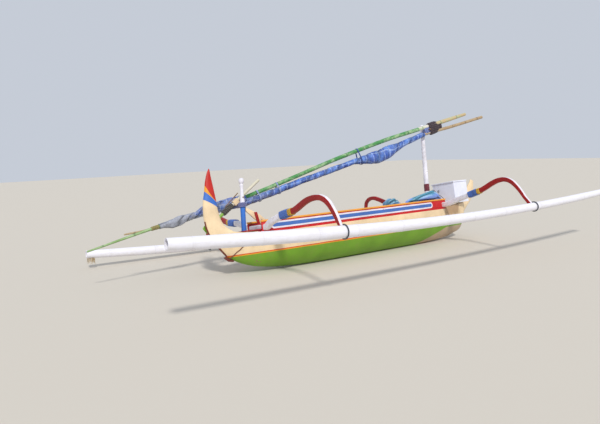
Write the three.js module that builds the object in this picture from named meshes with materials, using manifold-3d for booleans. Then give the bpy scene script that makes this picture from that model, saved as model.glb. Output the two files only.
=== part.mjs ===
// Double outrigger sailing canoe, drawn up on a beach with its sail furled.
// Millimetres. Inside the boat group +X runs to the bow, +Y to port and +Z up, with X from the tip of the
// stern's jaw and Z from the designed base line. The whole boat then leans to port until its keel and its
// port float stand on the ground, and the origin is put at the bottom centre of its box.
import * as THREE from 'three';
import { mergeVertices } from 'three/addons/utils/BufferGeometryUtils.js';
import Module from 'manifold-3d';

const wasm = await Module();
wasm.setup();

// Fits
const GAP = 0.3;
const PIN_FIT = 0.5;
const HEEL = THREE.MathUtils.degToRad(9.638);

// Dugout hull
const HULL_MID_X = 2400;
const HULL_HALF_LENGTH = 2600;
const HALF_BEAM = 330;
const PLAN_POWER = 3.5;
const WALL = 34;
const FLOOR = 55;
const SHEER = 480;
const BOW_JOINT_X = 4500;
const WELL_START = 240;
const WELL_END = 4300;
const SIDE_POINTS = 11;

// Washstrakes and their caps
const STRAKE_START = 490;
const STRAKE_END = 4120;
const STRAKE_TOP = 600;
const STRAKE_THICK = 22;
const CAP_WIDTH = 40;
const CAP_THICK = 25;
const STRAKE_STEPS = 12;

// Outrigger booms
const FLOAT_Y = 1934;
const BAND_THICK = 15;

// Floats
const FLOAT_LOW_X = 2900;
const FLOAT_LOW_Z = 303;
const FLOAT_BEND = 8.8e-6;
const FLOAT_START = -1420;
const FLOAT_END = 6374;
const FLOAT_SIDES = 12;
const FLOAT_BORE_DEPTH = 90;
const FLOAT_BORE_WALL = 12;
const FOOT_ROPE_RADIUS = 8;
const FOOT_ROPE_AHEAD = 33;

// Mast
const MAST_X = 3980;
const MAST_LEAN = 0.0763;
const MAST_REF_Z = 800;
const MAST_FOOT_Z = 18;
const STEP_TOP_Z = 60;
const STEP_X = [3830, 4000];
const STEP_HALF_WIDTH = 75;
const MAST_TOP_Z = 1980;
const MAST_RADIUS = 40;
const MAST_STRAIGHT = 1000;
const MAST_SIDES = 16;
const MAST_ROOM = 6;
const SOCKET_ROOM = 1.2;
const COLLAR_Z = [795, 922];
const COLLAR_THICK = 9;

// Sail bundle: s runs aft along it from the mast head, up is square to it
const BUNDLE_HEAD = new THREE.Vector3(3965, -104, 1901);
const BUNDLE_TAIL = new THREE.Vector3(-1677, 402, 499);
const PEG_S = -103;
const PEG_DROP = -60;
const PEG_RADIUS = 12;
const PEG_Y = [45, -190];
const PEG_SIDES = 16;

// Stern post and steering oar
const POST_X = 318;
const POST_BASE_Z = 508;
const POST_LEAN = 0.0766;
const OAR_Y = 85;
const OAR_PEG_Z = 976;
const OAR_PEG_RADIUS = 9;
const OAR_PEG_Y = [-45, 125];
const OAR_ANGLE = THREE.MathUtils.degToRad(35.1);
const OAR_RADIUS = 22;
const SERVING_REACH = [150, 385];
const SERVING_RADIUS = 43;
const CHOCK_REACH = 85;
const CHOCK_SIZE = [84, 60, 74];
const BECKET_Z = 872;
const BECKET_RADIUS = 8;
const BECKET_SLACK = 2;
const BECKET_END_Y = 132;
const BECKET_END_RADIUS = 26;

// Bow locker
const LOCKER_X = [4395, 4735];
const LOCKER_HALF_WIDTH = 250;
const BOW_DECK_TOP = 530;
const LOCKER_Z = [BOW_DECK_TOP + GAP, 895];
const LOCKER_WALL = 14;
const LID_THICK = 24;
const LID_LIP = 12;
const HINGE_OUT = 10;
const HINGE_RADIUS = 6;
const HINGE_HALF_LENGTH = 180;
const LEAF_DEPTH = 45;

const lerp = THREE.MathUtils.lerp;
const Y_AXIS = new THREE.Vector3(0, 1, 0);

// Value of a table's column at x, straight between its rows; column 0 holds x
function along(table, x, column) {
  const last = table.length - 1;
  if (x <= table[0][0]) return table[0][column];
  if (x >= table[last][0]) return table[last][column];
  const i = table.findIndex((row) => row[0] > x);
  const t = (x - table[i - 1][0]) / (table[i][0] - table[i - 1][0]);
  return lerp(table[i - 1][column], table[i][column], t);
}

// The same on a smooth curve that stays between the values of each stretch
function smooth(table, x, column) {
  const last = table.length - 1;
  if (x <= table[0][0]) return table[0][column];
  if (x >= table[last][0]) return table[last][column];
  const i = table.findIndex((row) => row[0] > x) - 1;
  const rise = (k) => (table[k + 1][column] - table[k][column]) / (table[k + 1][0] - table[k][0]);
  const slope = (k) => {
    if (k === 0) return rise(0);
    if (k === last) return rise(last - 1);
    const [before, after] = [rise(k - 1), rise(k)];
    return before * after > 0 ? 2 * before * after / (before + after) : 0;
  };
  const span = table[i + 1][0] - table[i][0];
  const t = (x - table[i][0]) / span;
  const held = (1 + 2 * t) * (1 - t) ** 2 * table[i][column] + t * t * (3 - 2 * t) * table[i + 1][column];
  return held + span * (t * (1 - t) ** 2 * slope(i) - t * t * (1 - t) * slope(i + 1));
}

// Rows of a table with smooth rows put between them
function refine(table, parts) {
  const numbered = table.map((row, i) => [i, ...row]);
  const count = (table.length - 1) * parts;
  return steps(0, table.length - 1, count).map((at) => table[0].map((_, c) => smooth(numbered, at, c + 1)));
}

function steps(start, end, count) {
  return Array.from({ length: count + 1 }, (_, i) => lerp(start, end, i / count));
}

function mid(points) {
  const sum = points.reduce((total, p) => total.add(p), new THREE.Vector3());
  return sum.divideScalar(points.length);
}

// Closed body through rings of equal point counts, either a loop or with each end closed by a fan
function loft(rings, loop = false) {
  const count = rings[0].length;
  const points = rings.flat();
  const index = [];
  for (let r = 0; r < rings.length - (loop ? 0 : 1); r++) {
    const next = (r + 1) % rings.length * count;
    for (let i = 0; i < count; i++) {
      const j = (i + 1) % count;
      index.push(r * count + i, r * count + j, next + i, r * count + j, next + j, next + i);
    }
  }
  if (loop) return facingOut(points, index);
  const first = points.push(mid(rings[0])) - 1;
  const last = points.push(mid(rings[rings.length - 1])) - 1;
  const base = (rings.length - 1) * count;
  for (let i = 0; i < count; i++) {
    const next = (i + 1) % count;
    index.push(first, next, i);
    index.push(last, base + i, base + next);
  }
  return facingOut(points, index);
}

// Geometry from points and triangles, turned so that its volume is positive
function facingOut(points, index) {
  let volume = 0;
  const cross = new THREE.Vector3();
  for (let i = 0; i < index.length; i += 3) {
    const [a, b, c] = [points[index[i]], points[index[i + 1]], points[index[i + 2]]];
    volume += a.dot(cross.crossVectors(b, c));
  }
  if (volume < 0) index.reverse();
  const geometry = new THREE.BufferGeometry();
  geometry.setAttribute('position', new THREE.Float32BufferAttribute(points.flatMap((p) => p.toArray()), 3));
  geometry.setIndex(index);
  return geometry;
}

function solid(geometry) {
  const bare = geometry.clone();
  bare.deleteAttribute('normal');
  bare.deleteAttribute('uv');
  const merged = mergeVertices(bare, 1e-3);
  return new wasm.Manifold(new wasm.Mesh({
    numProp: 3,
    vertProperties: new Float32Array(merged.attributes.position.array),
    triVerts: new Uint32Array(merged.index.array),
  }));
}

function fromSolid(body) {
  const mesh = body.getMesh();
  const geometry = new THREE.BufferGeometry();
  geometry.setAttribute('position', new THREE.BufferAttribute(new Float32Array(mesh.vertProperties), 3));
  geometry.setIndex(new THREE.BufferAttribute(new Uint32Array(mesh.triVerts), 1));
  return geometry;
}

function cut(geometry, ...tools) {
  return fromSolid(tools.reduce((body, tool) => body.subtract(solid(tool)), solid(geometry)));
}

function join(geometry, ...others) {
  return fromSolid(others.reduce((body, other) => body.add(solid(other)), solid(geometry)));
}

// Round ring of points about a centre, in the plane of two directions
function circle(centre, u, v, ru, rv, sides) {
  return Array.from({ length: sides }, (_, i) => {
    const a = 2 * Math.PI * i / sides;
    return centre.clone().addScaledVector(u, ru * Math.cos(a)).addScaledVector(v, rv * Math.sin(a));
  });
}

function box(x0, x1, y0, y1, z0, z1) {
  const geometry = new THREE.BoxGeometry(x1 - x0, y1 - y0, z1 - z0);
  return geometry.translate((x0 + x1) / 2, (y0 + y1) / 2, (z0 + z1) / 2);
}

// Straight round bar between two points
function bar(from, to, radius, sides) {
  const direction = to.clone().sub(from);
  const geometry = new THREE.CylinderGeometry(radius, radius, direction.length(), sides);
  const turn = new THREE.Quaternion().setFromUnitVectors(new THREE.Vector3(0, 1, 0), direction.normalize());
  return geometry.applyQuaternion(turn).translate(...mid([from, to]).toArray());
}

const boat = new THREE.Group();
boat.rotation.x = -HEEL;

const PAINT = {
  cream: [0xf3d6a6, 0.45],
  red: [0xb01820, 0.4],
  white: [0xeeecf8, 0.4],
  blue: [0x3c62a8, 0.6],
  orange: [0xf09a2e, 0.45],
  maroon: [0x8a2a3a, 0.6],
  rope: [0x4a4a44, 0.9],
  green: [0x5e9a62, 0.5],
  bamboo: [0xc9ae84, 0.6],
  sail: [0x2f62c8, 0.8],
  teal: [0x4f96a8, 0.85],
  timber: [0x9a7a58, 0.8],
};

function add(name, geometry, paint) {
  const [color, roughness] = PAINT[paint];
  const mesh = new THREE.Mesh(geometry, new THREE.MeshStandardMaterial({ color, roughness, metalness: 0 }));
  mesh.name = name;
  boat.add(mesh);
}

// Half breadth of the hull at the sheer
function halfBreadth(x) {
  const reach = Math.abs(x - HULL_MID_X) / HULL_HALF_LENGTH;
  return HALF_BEAM * (1 - reach ** PLAN_POWER);
}

// Share of the half breadth at a height t from keel 0 to sheer 1
function fullness(t) {
  return (1 - (1 - t) ** 2.4) ** 0.6;
}

// Ring of a hull-shaped section; keel and sheer are [x, z], half is its half breadth, round blends to a lens
function hullRing(keel, sheer, half, round = 0) {
  const side = steps(0, 1, SIDE_POINTS).map((t) => {
    const lens = Math.sqrt(Math.max(0, 1 - (2 * t - 1) ** 2));
    const y = half * lerp(fullness(t), lens, round);
    return [lerp(keel[0], sheer[0], t), y, lerp(keel[1], sheer[1], t)];
  });
  const port = side.map(([x, y, z]) => new THREE.Vector3(x, Math.max(y, 2), z));
  const starboard = side.map(([x, y, z]) => new THREE.Vector3(x, -Math.max(y, 2), z)).reverse();
  return [...port, ...starboard];
}

// Hull stations: keel x, keel z, sheer x, sheer z
const HULL_STATIONS = [
  [0, 190, 105, 519],
  [200, 75, 240, 490],
  [420, 0, 430, 480],
  [800, -58, 800, 480],
  [1400, -85, 1400, 480],
  [2000, -89, 2000, 480],
  [2800, -89, 2800, 480],
  [3600, -89, 3600, 480],
  [4120, -64, 4120, 480],
  [4350, -40, 4350, 490],
  [BOW_JOINT_X, 0, BOW_JOINT_X, 500],
];

const WELL_X = [WELL_START, 330, 430, 600, 800, 1100, 1400, 2000, 2400, 2800, 3200, 3600, 3860, 4120,
  WELL_END];

// Room inside the hull, raised by a height
function wellBody(lift) {
  return loft(WELL_X.map((x) => {
    const floor = smooth(HULL_STATIONS, x, 1) + FLOOR + lift;
    return hullRing([x, floor], [x, SHEER + 90 + lift], halfBreadth(x) - WALL);
  }));
}

function makeHull() {
  const outer = refine(HULL_STATIONS, 2).map(([keelX, keelZ, x, z]) => {
    return hullRing([keelX, keelZ], [x, z], halfBreadth(x));
  });
  add('hull', cut(loft(outer), wellBody(0)), 'cream');
}

// Profile pairs from the hull to the tip: aft edge x, z, fore edge x, z, half thickness, roundness
const NECK = [
  [0, 190, 105, 519, halfBreadth(105), 0],
  [-69, 281, 60, 575, 92, 0.5],
  [-154, 410, 17, 639, 72, 0.9],
  [-218, 531, -10, 705, 60, 1],
  [-245, 650, -24, 765, 54, 1],
  [-251, 760, -31, 810, 50, 1],
  [-244, 880, -36, 840, 47, 1],
  [-227, 989, -37, 868, 45, 1],
];
const FINIAL = [
  [-227, 989, -37, 868, 45, 1],
  [-200, 1081, -42, 960, 38, 1],
  [-170, 1220, -58, 1130, 27, 1],
  [-122, 1355, -76, 1300, 14, 1],
  [-92, 1405, -82, 1392, 5, 1],
];
const STEM = [
  [BOW_JOINT_X, 0, BOW_JOINT_X, 500, halfBreadth(BOW_JOINT_X), 0],
  [4640, 40, 4715, 512, 130, 0.1],
  [4800, 308, 4810, 575, 92, 0.3],
  [4950, 440, 4935, 700, 64, 0.5],
  [5080, 547, 5035, 800, 44, 0.7],
  [5200, 750, 5125, 880, 27, 0.8],
  [5240, 898, 5160, 932, 12, 0.8],
];

// Carved jaw under the aft end of the keel: x, z
const JAW = [[-34, 176], [-8, 193], [4, 187], [112, 121.2], [96, 106], [30, 118]];
const JAW_WIDTH = 30;

// Horn-shaped body on a pair table, shifted off its seat by the gap
function horn(table, shiftX, shiftZ) {
  const rings = refine(table, 2).map(([kx, kz, sx, sz, half, round]) => {
    return hullRing([kx + shiftX, kz + shiftZ], [sx + shiftX, sz + shiftZ], half, round);
  });
  return loft(rings);
}

function makeEnds() {
  add('stern_neck', horn(NECK, -GAP, 0), 'cream');
  add('neck_finial', horn(FINIAL, -GAP, 2 * GAP), 'red');
  add('bow_stem', horn(STEM, GAP, 0), 'cream');
  const jaw = new THREE.Shape(JAW.map(([x, z]) => new THREE.Vector2(x, z)));
  const plate = new THREE.ExtrudeGeometry(jaw, { depth: JAW_WIDTH, bevelEnabled: false });
  add('stern_jaw', plate.rotateX(Math.PI / 2).translate(0, JAW_WIDTH / 2, 0), 'maroon');
}

const STRAKE_PLAN = steps(STRAKE_START, STRAKE_END, STRAKE_STEPS).map((x) => [x, halfBreadth(x)]);
const SHEER_LINE = HULL_STATIONS.map(([, , x, z]) => [x, z]);

// Side board that follows the hull's plan, with its section given from the outer face
function sideBoard(side, outer, inner, z0, z1) {
  const rings = STRAKE_PLAN.map(([x, b]) => {
    const corners = [[b + outer, z0], [b + outer, z1], [b - inner, z1], [b - inner, z0]];
    return corners.map(([y, z]) => new THREE.Vector3(x, side * y, z));
  });
  return loft(rings);
}

// Boom centre lines and sections: y, z, half width along X, half height. Each boom is a grown crook.
const REAR_ROWS = [
  [0, 522.3, 45, 42],
  [230, 522.3, 45, 42],
  [393, 582, 44, 42],
  [510, 607, 43, 41],
  [651, 635, 42, 40],
  [800, 655, 40, 39],
  [968, 672, 36, 37],
  [1081, 697, 34, 36],
  [1192, 733, 32, 36],
  [1299, 763, 30, 36],
  [1399, 780, 29, 35],
  [1496, 784, 28, 35],
  [1600, 775, 27, 35],
  [1690, 742, 26, 36],
  [1765, 685, 26, 36],
  [1815, 622, 25, 34],
  [1854, 560, 24, 32],
  [1890, 492, 23, 28],
];
const FRONT_ROWS = [
  [0, 522.3, 45, 42],
  [300, 522.3, 45, 42],
  [600, 575, 43, 40],
  [900, 634, 40, 38],
  [1088, 672, 37, 38],
  [1188, 706, 34, 38],
  [1309, 752, 32, 38],
  [1423, 779, 31, 37],
  [1500, 783, 30, 36],
  [1577, 767, 30, 35],
  [1650, 725, 29, 33],
  [1715, 656, 28, 30],
  [1780, 562, 27, 27],
  [1827, 475, 25, 24],
];
// Name, x, rows, end of the beam, band from and to, inset of the foot, and how much further up and out the
// port arm's crook reaches
const BOOMS = [
  ['rear', 547, REAR_ROWS, 800, 705, 895, 12, 0, 0],
  ['front', 4056, FRONT_ROWS, 920, 845, 1010, 30, 62, 110],
].map(([end, x, rows, beamEnd, bandFrom, bandTo, inset, portRise, portReach]) => {
  return { end, x, rows, beamEnd, bandFrom, bandTo, inset, portRise, portReach };
});
const SIDES = [['port', 1], ['starboard', -1]];
// Share of the port arm's extra reach: y, share
const CROOK_SHARE = [[1010, 0], [1230, 0.5], [1450, 1], [1650, 1], [1780, 0.5], [1900, 0]];
const FOOT_HALF = 22;
const BEND_STEP = 30;

// Point of a boom's line at distance y from the middle, with its half sizes
function boomPoint(boom, side, y) {
  const share = side > 0 ? smooth(CROOK_SHARE, y, 1) : 0;
  return {
    y: y + boom.portReach * share,
    z: smooth(boom.rows, y, 1) + boom.portRise * share,
    wide: smooth(boom.rows, y, 2),
    high: smooth(boom.rows, y, 3),
  };
}

// Ring square to the boom's line at distance y from the middle, on one side
function boomRing(boom, side, y, grow) {
  const p = boomPoint(boom, side, y);
  const [before, after] = [Math.max(0, y - 15), y + 15].map((at) => boomPoint(boom, side, at));
  const length = Math.hypot(after.y - before.y, after.z - before.z);
  const up = [(before.z - after.z) / length, (after.y - before.y) / length];
  const [wide, high] = [p.wide + grow, p.high + grow];
  return [[-1, -1], [1, -1], [1, 1], [-1, 1]].map(([i, j]) => {
    return new THREE.Vector3(boom.x + i * wide, side * (p.y + j * high * up[0]), p.z + j * high * up[1]);
  });
}

function beamBody(boom, grow) {
  const ys = [boom.beamEnd, ...boom.rows.map(([y]) => y).filter((y) => y > 0 && y < boom.beamEnd).reverse()];
  const fine = ys.flatMap((y, i) => (i === 0 ? [y] : [(y + ys[i - 1]) / 2, y]));
  const port = fine.map((y) => boomRing(boom, 1, y, grow));
  const starboard = fine.map((y) => boomRing(boom, -1, y, grow)).reverse();
  return loft([...port, ...starboard]);
}

function armBody(boom, side) {
  const last = boom.rows[boom.rows.length - 1][0];
  const start = boom.beamEnd + GAP;
  const count = Math.round((last - start) / BEND_STEP);
  const rings = steps(start, last, count).map((y) => boomRing(boom, side, y, 0));
  const foot = [[-1, -1], [1, -1], [1, 1], [-1, 1]].map(([i, j]) => {
    const x = boom.x + i * FOOT_HALF;
    const r = floatRadius(x) + GAP;
    const spread = Math.asin(FOOT_HALF / r);
    const angle = Math.asin(boom.inset / r) - j * spread;
    const reach = r / Math.cos(spread);
    const y = FLOAT_Y - reach * Math.sin(angle);
    return new THREE.Vector3(x, side * y, floatZ(x) + reach * Math.cos(angle));
  });
  return loft([...rings, foot]);
}

// Float: x, radius
const FLOAT_RADII = [
  [-1420, 60],
  [-900, 68],
  [0, 74],
  [700, 72],
  [2700, 62],
  [5400, 58],
  [6374, 46],
];

function floatRadius(x) {
  return along(FLOAT_RADII, x, 1);
}

function floatZ(x) {
  return FLOAT_LOW_Z + FLOAT_BEND * (x - FLOAT_LOW_X) ** 2;
}

function floatRing(x, side, radius) {
  const centre = new THREE.Vector3(x, side * FLOAT_Y, floatZ(x));
  return circle(centre, new THREE.Vector3(0, 1, 0), new THREE.Vector3(0, 0, 1), radius, radius, FLOAT_SIDES);
}

function makeFloat(side) {
  const outer = loft(steps(FLOAT_START, FLOAT_END, 20).map((x) => floatRing(x, side, floatRadius(x))));
  const bore = [FLOAT_START - 30, FLOAT_START + FLOAT_BORE_DEPTH].map((x) => {
    return floatRing(x, side, floatRadius(x) - FLOAT_BORE_WALL);
  });
  return cut(outer, loft(bore));
}

// Rope ring round a float, square to its line
function footRope(x, side) {
  const at = x + FOOT_ROPE_AHEAD;
  const slope = 2 * FLOAT_BEND * (at - FLOAT_LOW_X);
  const ring = new THREE.TorusGeometry(floatRadius(at) + FOOT_ROPE_RADIUS + 0.7, FOOT_ROPE_RADIUS, 6, 24);
  return ring.rotateY(Math.PI / 2 - Math.atan(slope)).translate(at, side * FLOAT_Y, floatZ(at));
}

function makeBooms() {
  for (const boom of BOOMS) {
    const { end, x, beamEnd, bandFrom, bandTo } = boom;
    add(`${end}_beam`, beamBody(boom, 0), 'white');
    for (const [name, side] of SIDES) {
      add(`${end}_arm_${name}`, armBody(boom, side), 'red');
      const ys = [bandFrom, (bandFrom + beamEnd) / 2, beamEnd, (beamEnd + bandTo) / 2, bandTo];
      const sleeve = loft(ys.map((y) => boomRing(boom, side, y, BAND_THICK)));
      const through = [bandFrom - 20, ...ys, bandTo + 20];
      const bore = loft(through.map((y) => boomRing(boom, side, y, GAP)));
      add(`${end}_band_${name}`, cut(sleeve, bore), 'blue');
      add(`${end}_foot_rope_${name}`, footRope(x, side), 'rope');
    }
  }
  for (const [name, side] of SIDES) {
    add(`float_${name}`, makeFloat(side), 'white');
  }
}

function makeStrakes() {
  const notches = BOOMS.map((boom) => beamBody(boom, GAP));
  for (const [name, side] of SIDES) {
    const board = sideBoard(side, 0, STRAKE_THICK, SHEER + GAP, STRAKE_TOP);
    const out = CAP_WIDTH - STRAKE_THICK - 9;
    const cap = sideBoard(side, out, STRAKE_THICK + out, STRAKE_TOP + GAP, STRAKE_TOP + CAP_THICK);
    add(`washstrake_${name}`, cut(board, ...notches), 'red');
    add(`rail_cap_${name}`, cap, 'orange');
  }
}

// Cross boards on the sheer: name, x from, x to, top, paint
const BOARDS = [
  ['aft_deck', 250, 485, POST_BASE_Z, 'red'],
  ['thwart_aft', 640, 830, 505, 'red'],
  ['thwart_middle', 1760, 1960, 505, 'red'],
  ['thwart_fore', 2880, 3090, 505, 'red'],
  ['mast_thwart', 3770, 4000, 508, 'red'],
  ['bow_deck', 4125, 4490, BOW_DECK_TOP, 'cream'],
];
const BOARD_EDGE = 4;

// Board across the hull, inside the washstrakes where they stand, resting on the sheer
function crossBoard(x0, x1, top) {
  const z0 = Math.max(along(SHEER_LINE, x0, 1), along(SHEER_LINE, x1, 1)) + GAP;
  const amidships = x0 > STRAKE_START && x1 < STRAKE_END;
  const rings = steps(x0, x1, 3).map((x) => {
    const b = amidships ? along(STRAKE_PLAN, x, 1) - STRAKE_THICK - GAP : halfBreadth(x) - BOARD_EDGE;
    return [[-b, z0], [b, z0], [b, top], [-b, top]].map(([y, z]) => new THREE.Vector3(x, y, z));
  });
  return loft(rings);
}

function mastAt(z) {
  return new THREE.Vector3(MAST_X + (z - MAST_REF_Z) * MAST_LEAN, 0, z);
}

function makeBoards() {
  for (const [name, x0, x1, top, paint] of BOARDS) {
    const board = crossBoard(x0, x1, top);
    if (name !== 'mast_thwart') {
      add(name, board, paint);
      continue;
    }
    add(name, cut(board, bar(mastAt(300), mastAt(700), MAST_RADIUS + MAST_ROOM, 20)), paint);
  }
}

// Knob on the mast: distance below the head, radius
const KNOB = [[75, 33], [68, 20], [55, 20], [38, 35], [12, 30], [0, 0]];

// Pole turned on its own line, from the foot up to the knob
function mastPole() {
  const foot = mastAt(MAST_FOOT_Z);
  const head = mastAt(MAST_TOP_Z);
  const length = foot.distanceTo(head);
  const shaft = [[0, 0], [0, MAST_RADIUS], [MAST_STRAIGHT, MAST_RADIUS]];
  const profile = [...shaft, ...KNOB.map(([down, r]) => [length - down, r])];
  const pole = new THREE.LatheGeometry(profile.map(([y, r]) => new THREE.Vector2(r, y)), MAST_SIDES);
  const turn = new THREE.Quaternion().setFromUnitVectors(Y_AXIS, head.sub(foot).normalize());
  return pole.applyQuaternion(turn).translate(...foot.toArray());
}

function makeMast() {
  const [from, to] = pegLine();
  add('mast', cut(mastPole(), bar(from, to, PEG_RADIUS + GAP, PEG_SIDES)), 'white');
  add('masthead_peg', bar(from, to, PEG_RADIUS, PEG_SIDES), 'timber');
  const collar = bar(mastAt(COLLAR_Z[0]), mastAt(COLLAR_Z[1]), MAST_RADIUS + COLLAR_THICK, MAST_SIDES);
  const collarBore = bar(mastAt(700), mastAt(1000), MAST_RADIUS + GAP, MAST_SIDES);
  add('mast_collar', cut(collar, collarBore), 'maroon');
  const step = box(...STEP_X, -STEP_HALF_WIDTH, STEP_HALF_WIDTH, -60, STEP_TOP_Z);
  const socket = bar(mastAt(MAST_FOOT_Z - GAP), mastAt(120), MAST_RADIUS + SOCKET_ROOM, MAST_SIDES);
  add('mast_step', cut(step, hullFloorTool(), socket), 'timber');
}

// Body that fills the well below the hull's inner floor, used to seat blocks on it
function hullFloorTool() {
  return cut(box(3650, 4050, -300, 300, -200, 100), wellBody(GAP));
}

const bundleAft = BUNDLE_TAIL.clone().sub(BUNDLE_HEAD).normalize();
const bundleSide = new THREE.Vector3().crossVectors(bundleAft, new THREE.Vector3(0, 0, 1)).normalize();
const bundleUp = new THREE.Vector3().crossVectors(bundleSide, bundleAft);

// Point of the sail bundle from s aft, up and to the side, where the side is starboard-negative
function onBundle(s, up, across = 0) {
  const p = BUNDLE_HEAD.clone().addScaledVector(bundleAft, s);
  return p.addScaledVector(bundleUp, up).addScaledVector(bundleSide, across);
}

function pegLine() {
  const centre = onBundle(PEG_S, PEG_DROP);
  return PEG_Y.map((y) => new THREE.Vector3(centre.x, y, centre.z));
}

// Upper spar, lower spar and rolled sail: s, up, across, half height, half width
const UPPER_SPAR = [
  [-1085, -30, 0, 30, 30],
  [0, 0, 0, 34, 34],
  [900, 28, 0, 34, 34],
  [1900, 15, 0, 32, 32],
  [2400, -8, 0, 31, 31],
  [3000, -34, 0, 30, 30],
  [3280, -42, 0, 29, 29],
  [4300, -12, 0, 25, 25],
  [5100, 0, 0, 19, 19],
  [5836, 0, 0, 12, 12],
];
const LOWER_SPAR = [
  [-1476, -190, 0, 27, 27],
  [-600, -150, 0, 28, 28],
  [0, -112, 0, 28, 28],
  [900, -150, 0, 26, 26],
  [1650, -122, 0, 25, 25],
  [3000, -124, 0, 24, 24],
  [3700, -114, 0, 22, 22],
  [4300, -78, 0, 20, 20],
  [4980, -20, 42, 16, 16],
  [5339, -2, 45, 11, 11],
];
const ROLL = [
  [20, -110, 0, 48, 46],
  [500, -132, 0, 56, 54],
  [700, -155, 0, 80, 72],
  [900, -178, 0, 112, 88],
  [1150, -184, 0, 114, 88],
  [1380, -160, 0, 80, 70],
  [1650, -125, 0, 46, 46],
  [2050, -124, 0, 50, 50],
  [2600, -118, 0, 50, 50],
  [3000, -124, 0, 54, 56],
  [3300, -126, 0, 52, 58],
  [3640, -122, 0, 52, 60],
];
// Loose tail of the sail, wound round both spars
const TAIL = [
  [3660, -78, 0, 86, 62],
  [4000, -52, 0, 88, 60],
  [4300, -36, 0, 80, 56],
  [4500, -30, 12, 66, 56],
  [4700, -22, 20, 54, 58],
  [4980, -12, 22, 36, 50],
];

function bundleBody(table, sides, grow = 0, extend = 0) {
  const rows = table.map((row) => [...row]);
  rows[0][0] -= extend;
  rows[rows.length - 1][0] += extend;
  return loft(rows.map(([s, up, across, high, wide]) => {
    return circle(onBundle(s, up, across), bundleUp, bundleSide, high + grow, wide + grow, sides);
  }));
}

// Ties round the upper spar and the cloth: name, s, cloth
const TIES = [['fore', 1480, ROLL], ['middle', 3050, ROLL], ['aft', 3390, ROLL], ['stern', 3747, TAIL]];
const TIE_HALF_WIDTH = 14;
const TIE_THICK = 6;
const TIE_FIT = 0.9;
const TIE_SIDES = 48;

// Ring stretched round two ellipses of the bundle at s, held off them by a margin
function wrapRing(s, tables, margin) {
  const ovals = tables.map((table) => [1, 2, 3, 4].map((column) => along(table, s, column)));
  return Array.from({ length: TIE_SIDES }, (_, i) => {
    const angle = 2 * Math.PI * i / TIE_SIDES;
    const [c, d] = [Math.cos(angle), Math.sin(angle)];
    const reach = ([up, across, high, wide]) => up * c + across * d + Math.hypot(high * c, wide * d);
    const [up, across, high, wide] = ovals.reduce((best, oval) => (reach(oval) > reach(best) ? oval : best));
    const size = Math.hypot(high * c, wide * d);
    const rise = up + high * high * c / size + margin * c;
    return onBundle(s, rise, across + wide * wide * d / size + margin * d);
  });
}

function wrapBody(s, halfWidth, tables, margin) {
  return loft([s - halfWidth, s + halfWidth].map((at) => wrapRing(at, tables, margin)));
}

function makeTie(s, cloth) {
  const tables = [UPPER_SPAR, cloth];
  const outer = wrapBody(s, TIE_HALF_WIDTH, tables, TIE_FIT + TIE_THICK);
  return cut(outer, wrapBody(s, TIE_HALF_WIDTH + 4, tables, TIE_FIT));
}

// Wrap of the spar at the mast head: s from, s to, up, half height, half width
const LASHING = [-430, -15, -58, 112, 50];

function makeBundle() {
  const upper = bundleBody(UPPER_SPAR, 12);
  const lower = bundleBody(LOWER_SPAR, 10);
  const upperRoom = bundleBody(UPPER_SPAR, 12, GAP, 5);
  const lowerRoom = bundleBody(LOWER_SPAR, 10, GAP, 5);
  add('upper_spar', upper, 'green');
  add('lower_spar', lower, 'bamboo');
  add('sail_roll', cut(bundleBody(ROLL, 14), lowerRoom, upperRoom), 'sail');
  add('sail_tail', cut(bundleBody(TAIL, 14), lowerRoom, upperRoom), 'sail');
  for (const [name, s, cloth] of TIES) {
    add(`sail_tie_${name}`, makeTie(s, cloth), 'white');
  }
  const [from, to, up, high, wide] = LASHING;
  const wrap = loft([from, to].map((s) => circle(onBundle(s, up), bundleUp, bundleSide, high, wide, 16)));
  const pegRoom = bar(...pegLine(), PEG_RADIUS + PIN_FIT, PEG_SIDES);
  add('masthead_lashing', cut(wrap, upperRoom, lowerRoom, pegRoom), 'rope');
}

function postAt(z, y = 0) {
  return new THREE.Vector3(POST_X + (z - POST_BASE_Z) * POST_LEAN, y, z);
}

// Stern post turned in a lathe: height above the base, radius
const POST_PROFILE = [
  [0, 0], [0, 36], [60, 34], [320, 35], [345, 39], [380, 37], [470, 29], [590, 22], [640, 27], [655, 20],
  [675, 33], [700, 38], [725, 33], [742, 0],
];

function makePost() {
  const base = POST_BASE_Z + GAP;
  const points = POST_PROFILE.map(([z, r]) => new THREE.Vector2(r, z));
  const post = new THREE.LatheGeometry(points, 16).rotateX(Math.PI / 2);
  const shear = new THREE.Matrix4().set(1, 0, POST_LEAN, 0, 0, 1, 0, 0, 0, 0, 1, 0, 0, 0, 0, 1);
  post.applyMatrix4(shear).translate(POST_X, 0, base);
  const peg = OAR_PEG_Y.map((y) => postAt(OAR_PEG_Z, y));
  add('stern_post', cut(post, bar(...peg, OAR_PEG_RADIUS + GAP, PEG_SIDES)), 'white');
  add('oar_peg', bar(...peg, OAR_PEG_RADIUS, PEG_SIDES), 'timber');
}

// Rope becket: a long turn round the post that reaches the sail's stern tie
function makeBecket() {
  const post = postAt(BECKET_Z);
  const grip = along(POST_PROFILE, BECKET_Z - POST_BASE_Z, 1) + BECKET_RADIUS + BECKET_SLACK;
  const rings = steps(0, 2 * Math.PI, 28).slice(1).map((angle) => {
    const outward = new THREE.Vector3(Math.cos(angle), Math.sin(angle), 0);
    const atEnd = BECKET_END_Y * outward.y + BECKET_END_RADIUS > grip;
    const centre = post.clone().setY(atEnd ? BECKET_END_Y : 0);
    centre.addScaledVector(outward, atEnd ? BECKET_END_RADIUS : grip);
    return circle(centre, outward, new THREE.Vector3(0, 0, 1), BECKET_RADIUS, BECKET_RADIUS, 8);
  });
  add('stern_becket', loft(rings, true), 'blue');
}

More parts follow.
